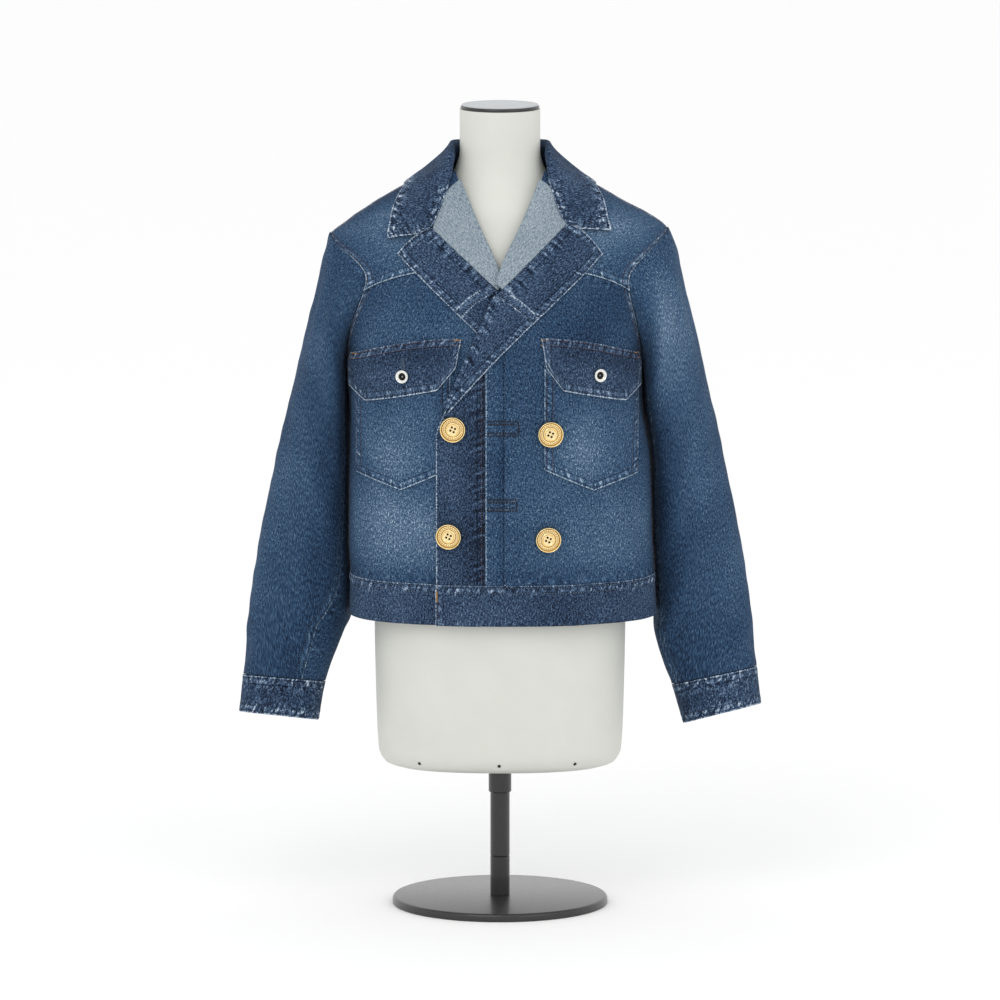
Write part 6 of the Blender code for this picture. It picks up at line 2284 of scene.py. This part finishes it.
# ---------------------------------------------------------------- trim of the front
@dataclass
class FrontSewing:
    """The boxes sewn through the pleats, the buttonhole on the band and the waistband's bar.

    A box is its left, right, lower and upper edge; twin is the space between the lines of a
    row, and inset that of a box's inner rows from its edge.
    """

    boxes: tuple[tuple[float, float, float, float], ...] = (
        (-0.0160, 0.0225, 0.6105, 0.6285),
        (-0.0160, 0.0205, 0.5165, 0.5305),
    )
    inset: float = 0.0035
    twin: float = 0.0007
    buttonhole: tuple[float, float, float] = (-0.0300, -0.0190, 0.6300)
    tack: tuple[float, float, float] = (-0.0772, 0.4000, 0.4205)
    tack_pitch: float = 0.0006
    tack_half: float = 0.0011

    def line(self, corners: list[tuple[float, float]], thread: Finish, lift: float) -> None:
        """Stitches along straight lines between corners on the left front.

        Args:
            corners: (x, height) of each corner.
            thread: the thread.
            lift: how far above the overlap the line lies.
        """
        at = np.array(corners)
        share = np.linspace(0.0, len(at) - 1.0, 160)
        x = np.interp(share, np.arange(len(at)), at[:, 0])
        height = np.interp(share, np.arange(len(at)), at[:, 1])
        step = np.where(x > PLEAT_IN, 2 * PLEAT_STEP, PLEAT_STEP) + lift
        angle = angle_at(x, height)
        points = body(angle, height, overlap_rise(x, height) + step)
        _, normal = section_point(JACKET, angle, height)
        STITCHES.add_line("front", thread, points, normal)

    def bar_tack(self) -> None:
        """The upright tan bar at the top of the waistband's end."""
        x, low, high = self.tack
        height = np.arange(low, high, self.tack_pitch)
        sides = (x - self.tack_half, x + self.tack_half)
        angles = [angle_at(side + 0.0 * height, height) for side in sides]
        rise = overlap_rise(x + 0.0 * height, height) + DOUBLE / 2 + 0.0001
        ends = np.stack([body(angle, height, rise) for angle in angles], axis=1)
        _, normal = section_point(JACKET, angles[0], height)
        STITCHES.add_stitch("front", Finish.TAN_THREAD, ends, normal)

    def build(self) -> None:
        """Sews both boxes with tripled lines, the buttonhole with two, and the bar."""
        lift = SINGLE / 2 + 0.00035
        for left, right, low, high in self.boxes:
            for by in (-self.twin, 0.0, self.twin):
                outline = [(left, low - by), (right + by, low - by)]
                outline += [(right + by, high + by), (left, high + by)]
                self.line(outline, Finish.UMBER_THREAD, lift)
                for row in (low + self.inset + by, high - self.inset + by):
                    ends = [(left, row), (right - self.inset, row)]
                    self.line(ends, Finish.UMBER_THREAD, lift)
        start, end, row = self.buttonhole
        for by in (-self.twin, self.twin):
            self.line([(start, row + by), (end, row + by)], Finish.UMBER_THREAD, lift - PLEAT_STEP)
        self.bar_tack()


# ---------------------------------------------------------------- dress form and stand
@dataclass
class DressForm:
    """The limbless form, its cap, and its short stand."""

    around: int = 128
    bottom: float = 0.178
    cap_thick: float = 0.0035
    plate_thick: float = 0.0015
    socket_radius: float = 0.0143
    tube_radius: float = 0.0122
    tube_top: float = 0.141
    tube_joint: float = 0.060
    base_radius: float = 0.135
    base_thick: float = 0.010
    screws: tuple[float, ...] = (-0.101, -0.001, 0.094)
    screw_height: float = 0.190
    screw_width: float = 0.150  # half the form's width at the screws

    def torso(self) -> None:
        """The torso and neck, a loft through the form's sections."""
        foot = np.array([0.178, 0.1785, 0.1795, 0.181, 0.183, 0.186, 0.190, 0.196])
        height = np.concatenate([foot, np.linspace(0.203, NECK_TOP - 0.0006, 110), [NECK_TOP]])
        angle = np.linspace(-pi, pi, self.around, endpoint=False)[None, :] + 0.0 * height[:, None]
        rings, _ = section_point(FORM, angle, height[:, None] + 0.0 * angle)
        keep(spun("form_torso_skin", rings[::-1], Finish.SKIN), ("form_torso",))

    def screw(self, number: int, x: float) -> None:
        """A small countersunk screw near the form's lower edge, facing forward."""
        angle = np.arcsin(signed_power(np.array([x / self.screw_width]), 2.3 / 2.0))
        point, normal = section_point(FORM, angle, np.array([self.screw_height]))
        across = np.cross([0.0, 0.0, 1.0], normal[0])
        across /= np.linalg.norm(across)
        axes = np.stack([across, np.cross(normal[0], across), normal[0]])
        profile = [(0.0004, 0.0006), (0.0012, 0.0006), (0.0019, 0.0004), (0.0022, 0.0)]
        profile += [(0.0022, -0.001), (0.0004, -0.001)]
        made = spun(f"form_screw_{number}", lathe(profile, 20) @ axes + point[0], Finish.SCREW)
        keep(made)

    def turned(self, node: str, profile: Profile, finish: Finish) -> None:
        """A turned piece about the stand's axis, from its profile, top to bottom."""
        keep(spun(node + "_turned", lathe(profile), finish), (node,))

    def build(self) -> None:
        """Makes the form and every piece of its stand."""
        self.torso()
        for number, x in enumerate(self.screws):
            self.screw(number, x)
        tiny = 0.0005
        low = NECK_TOP + SEAM
        top = low + self.cap_thick
        cap = [(tiny, top), (0.0478, top), (0.0486, top - 0.0004), (0.0490, top - 0.0012)]
        cap += [(0.0490, low + 0.0004), (0.0486, low), (tiny, low)]
        self.turned("neck_cap", cap, Finish.BLACK)
        low = top + SEAM
        top = low + self.plate_thick
        plate = [(tiny, top), (0.0472, top), (0.0476, top - 0.0004), (0.0477, low + 0.0004)]
        plate += [(0.0475, low), (tiny, low)]
        self.turned("neck_plate", plate, Finish.GREY)
        high, low = self.bottom - SEAM, self.tube_top + SEAM
        radius = self.socket_radius
        socket = [(tiny, high), (radius, high), (radius, low + 0.001), (radius - 0.001, low)]
        self.turned("stand_socket", [*socket, (tiny, low)], Finish.BLACK)
        radius, joint, groove = self.tube_radius, self.tube_joint, 0.0008
        foot = self.base_thick + SEAM
        tube = [(tiny, self.tube_top), (radius, self.tube_top), (radius, joint + groove)]
        tube += [(radius - groove, joint), (radius, joint - groove), (radius, foot), (tiny, foot)]
        self.turned("stand_tube", tube, Finish.BLACK)
        radius, top = self.base_radius, self.base_thick
        base = [(tiny, top), (radius - 0.004, top), (radius - 0.0022, top - 0.0005)]
        base += [(radius - 0.0008, top - 0.0018), (radius, top - 0.004), (radius, 0.001)]
        base += [(radius - 0.001, 0.0), (tiny, 0.0)]
        self.turned("stand_base", base, Finish.BLACK)


# ---------------------------------------------------------------- studio
class Lamp(NamedTuple):
    """A square soft light: its place, the length of its side and its power in watts."""

    name: str
    place: tuple[float, float, float]
    size: float
    power: float


@dataclass
class Studio:
    """A wide white floor, soft light all round and a long lens."""

    elevation: float = 8.5
    distance: float = 12.0
    view_width: float = 1.25
    aim_height: float = 0.5112
    floor_half: float = 60.0
    air_strength: float = 1.03
    lit_height: float = 0.6  # the jacket's middle, which both lamps face
    film_width: float = 36.0  # millimetres
    lamps: tuple[Lamp, ...] = (
        Lamp("key", (-1.4, -3.4, 3.6), 2.4, 32.0),
        Lamp("fill", (2.6, -3.0, 2.4), 2.4, 14.0),
    )

    def floor(self) -> None:
        """A level square; the white air beyond it is the backdrop from every side."""
        corners = np.array([[-1.0, -1.0, 0.0], [1.0, -1.0, 0.0], [1.0, 1.0, 0.0], [-1.0, 1.0, 0.0]])
        make_object("floor", corners * self.floor_half, [[0, 1, 2, 3]], [Finish.WHITE])

    def light(self, lamp: Lamp) -> None:
        """Makes a lamp that faces the jacket's middle."""
        data = bpy.data.lights.new(lamp.name, "AREA")
        data.energy, data.size = lamp.power, lamp.size
        made = bpy.data.objects.new(lamp.name, data)
        bpy.context.scene.collection.objects.link(made)
        way = np.array([0.0, 0.0, self.lit_height]) - np.array(lamp.place)
        made.location = lamp.place
        yaw, fall = np.arctan2(way[1], way[0]), np.arccos(way[2] / np.linalg.norm(way))
        made.rotation_euler = (pi - fall, 0.0, yaw + pi / 2 + pi)

    def build(self) -> None:
        """Makes the floor, the lights, the world and the camera."""
        self.floor()
        world = bpy.data.worlds.new("studio_air")
        world.use_nodes = True
        air = world.node_tree.nodes["Background"]
        air.inputs["Color"].default_value = (1.0, 1.0, 1.0, 1.0)
        air.inputs["Strength"].default_value = self.air_strength
        bpy.context.scene.world = world
        bpy.context.scene.view_settings.view_transform = "Standard"
        for lamp in self.lamps:
            self.light(lamp)
        data = bpy.data.cameras.new("camera")
        data.sensor_width = self.film_width
        data.lens = self.film_width * self.distance / self.view_width
        data.clip_end = 200.0
        camera = bpy.data.objects.new("camera", data)
        bpy.context.scene.collection.objects.link(camera)
        tilt = radians(self.elevation)
        reach = self.distance
        camera.location = (0.0, -reach * np.cos(tilt), self.aim_height + reach * np.sin(tilt))
        camera.rotation_euler = (pi / 2 - tilt, 0.0, 0.0)
        bpy.context.scene.camera = camera


def main() -> None:
    """Builds the studio and every piece, then makes the stitches."""
    logging.basicConfig(level=logging.INFO, format="%(name)s: %(message)s")
    body_parts = (BodyShell, Lapels, CollarPiece, Sleeves, Pockets, Buttons, FrontSewing)
    for part in (Studio, *body_parts, DressForm):
        part().build()
    STITCHES.make()


if __name__ == "__main__":
    main()
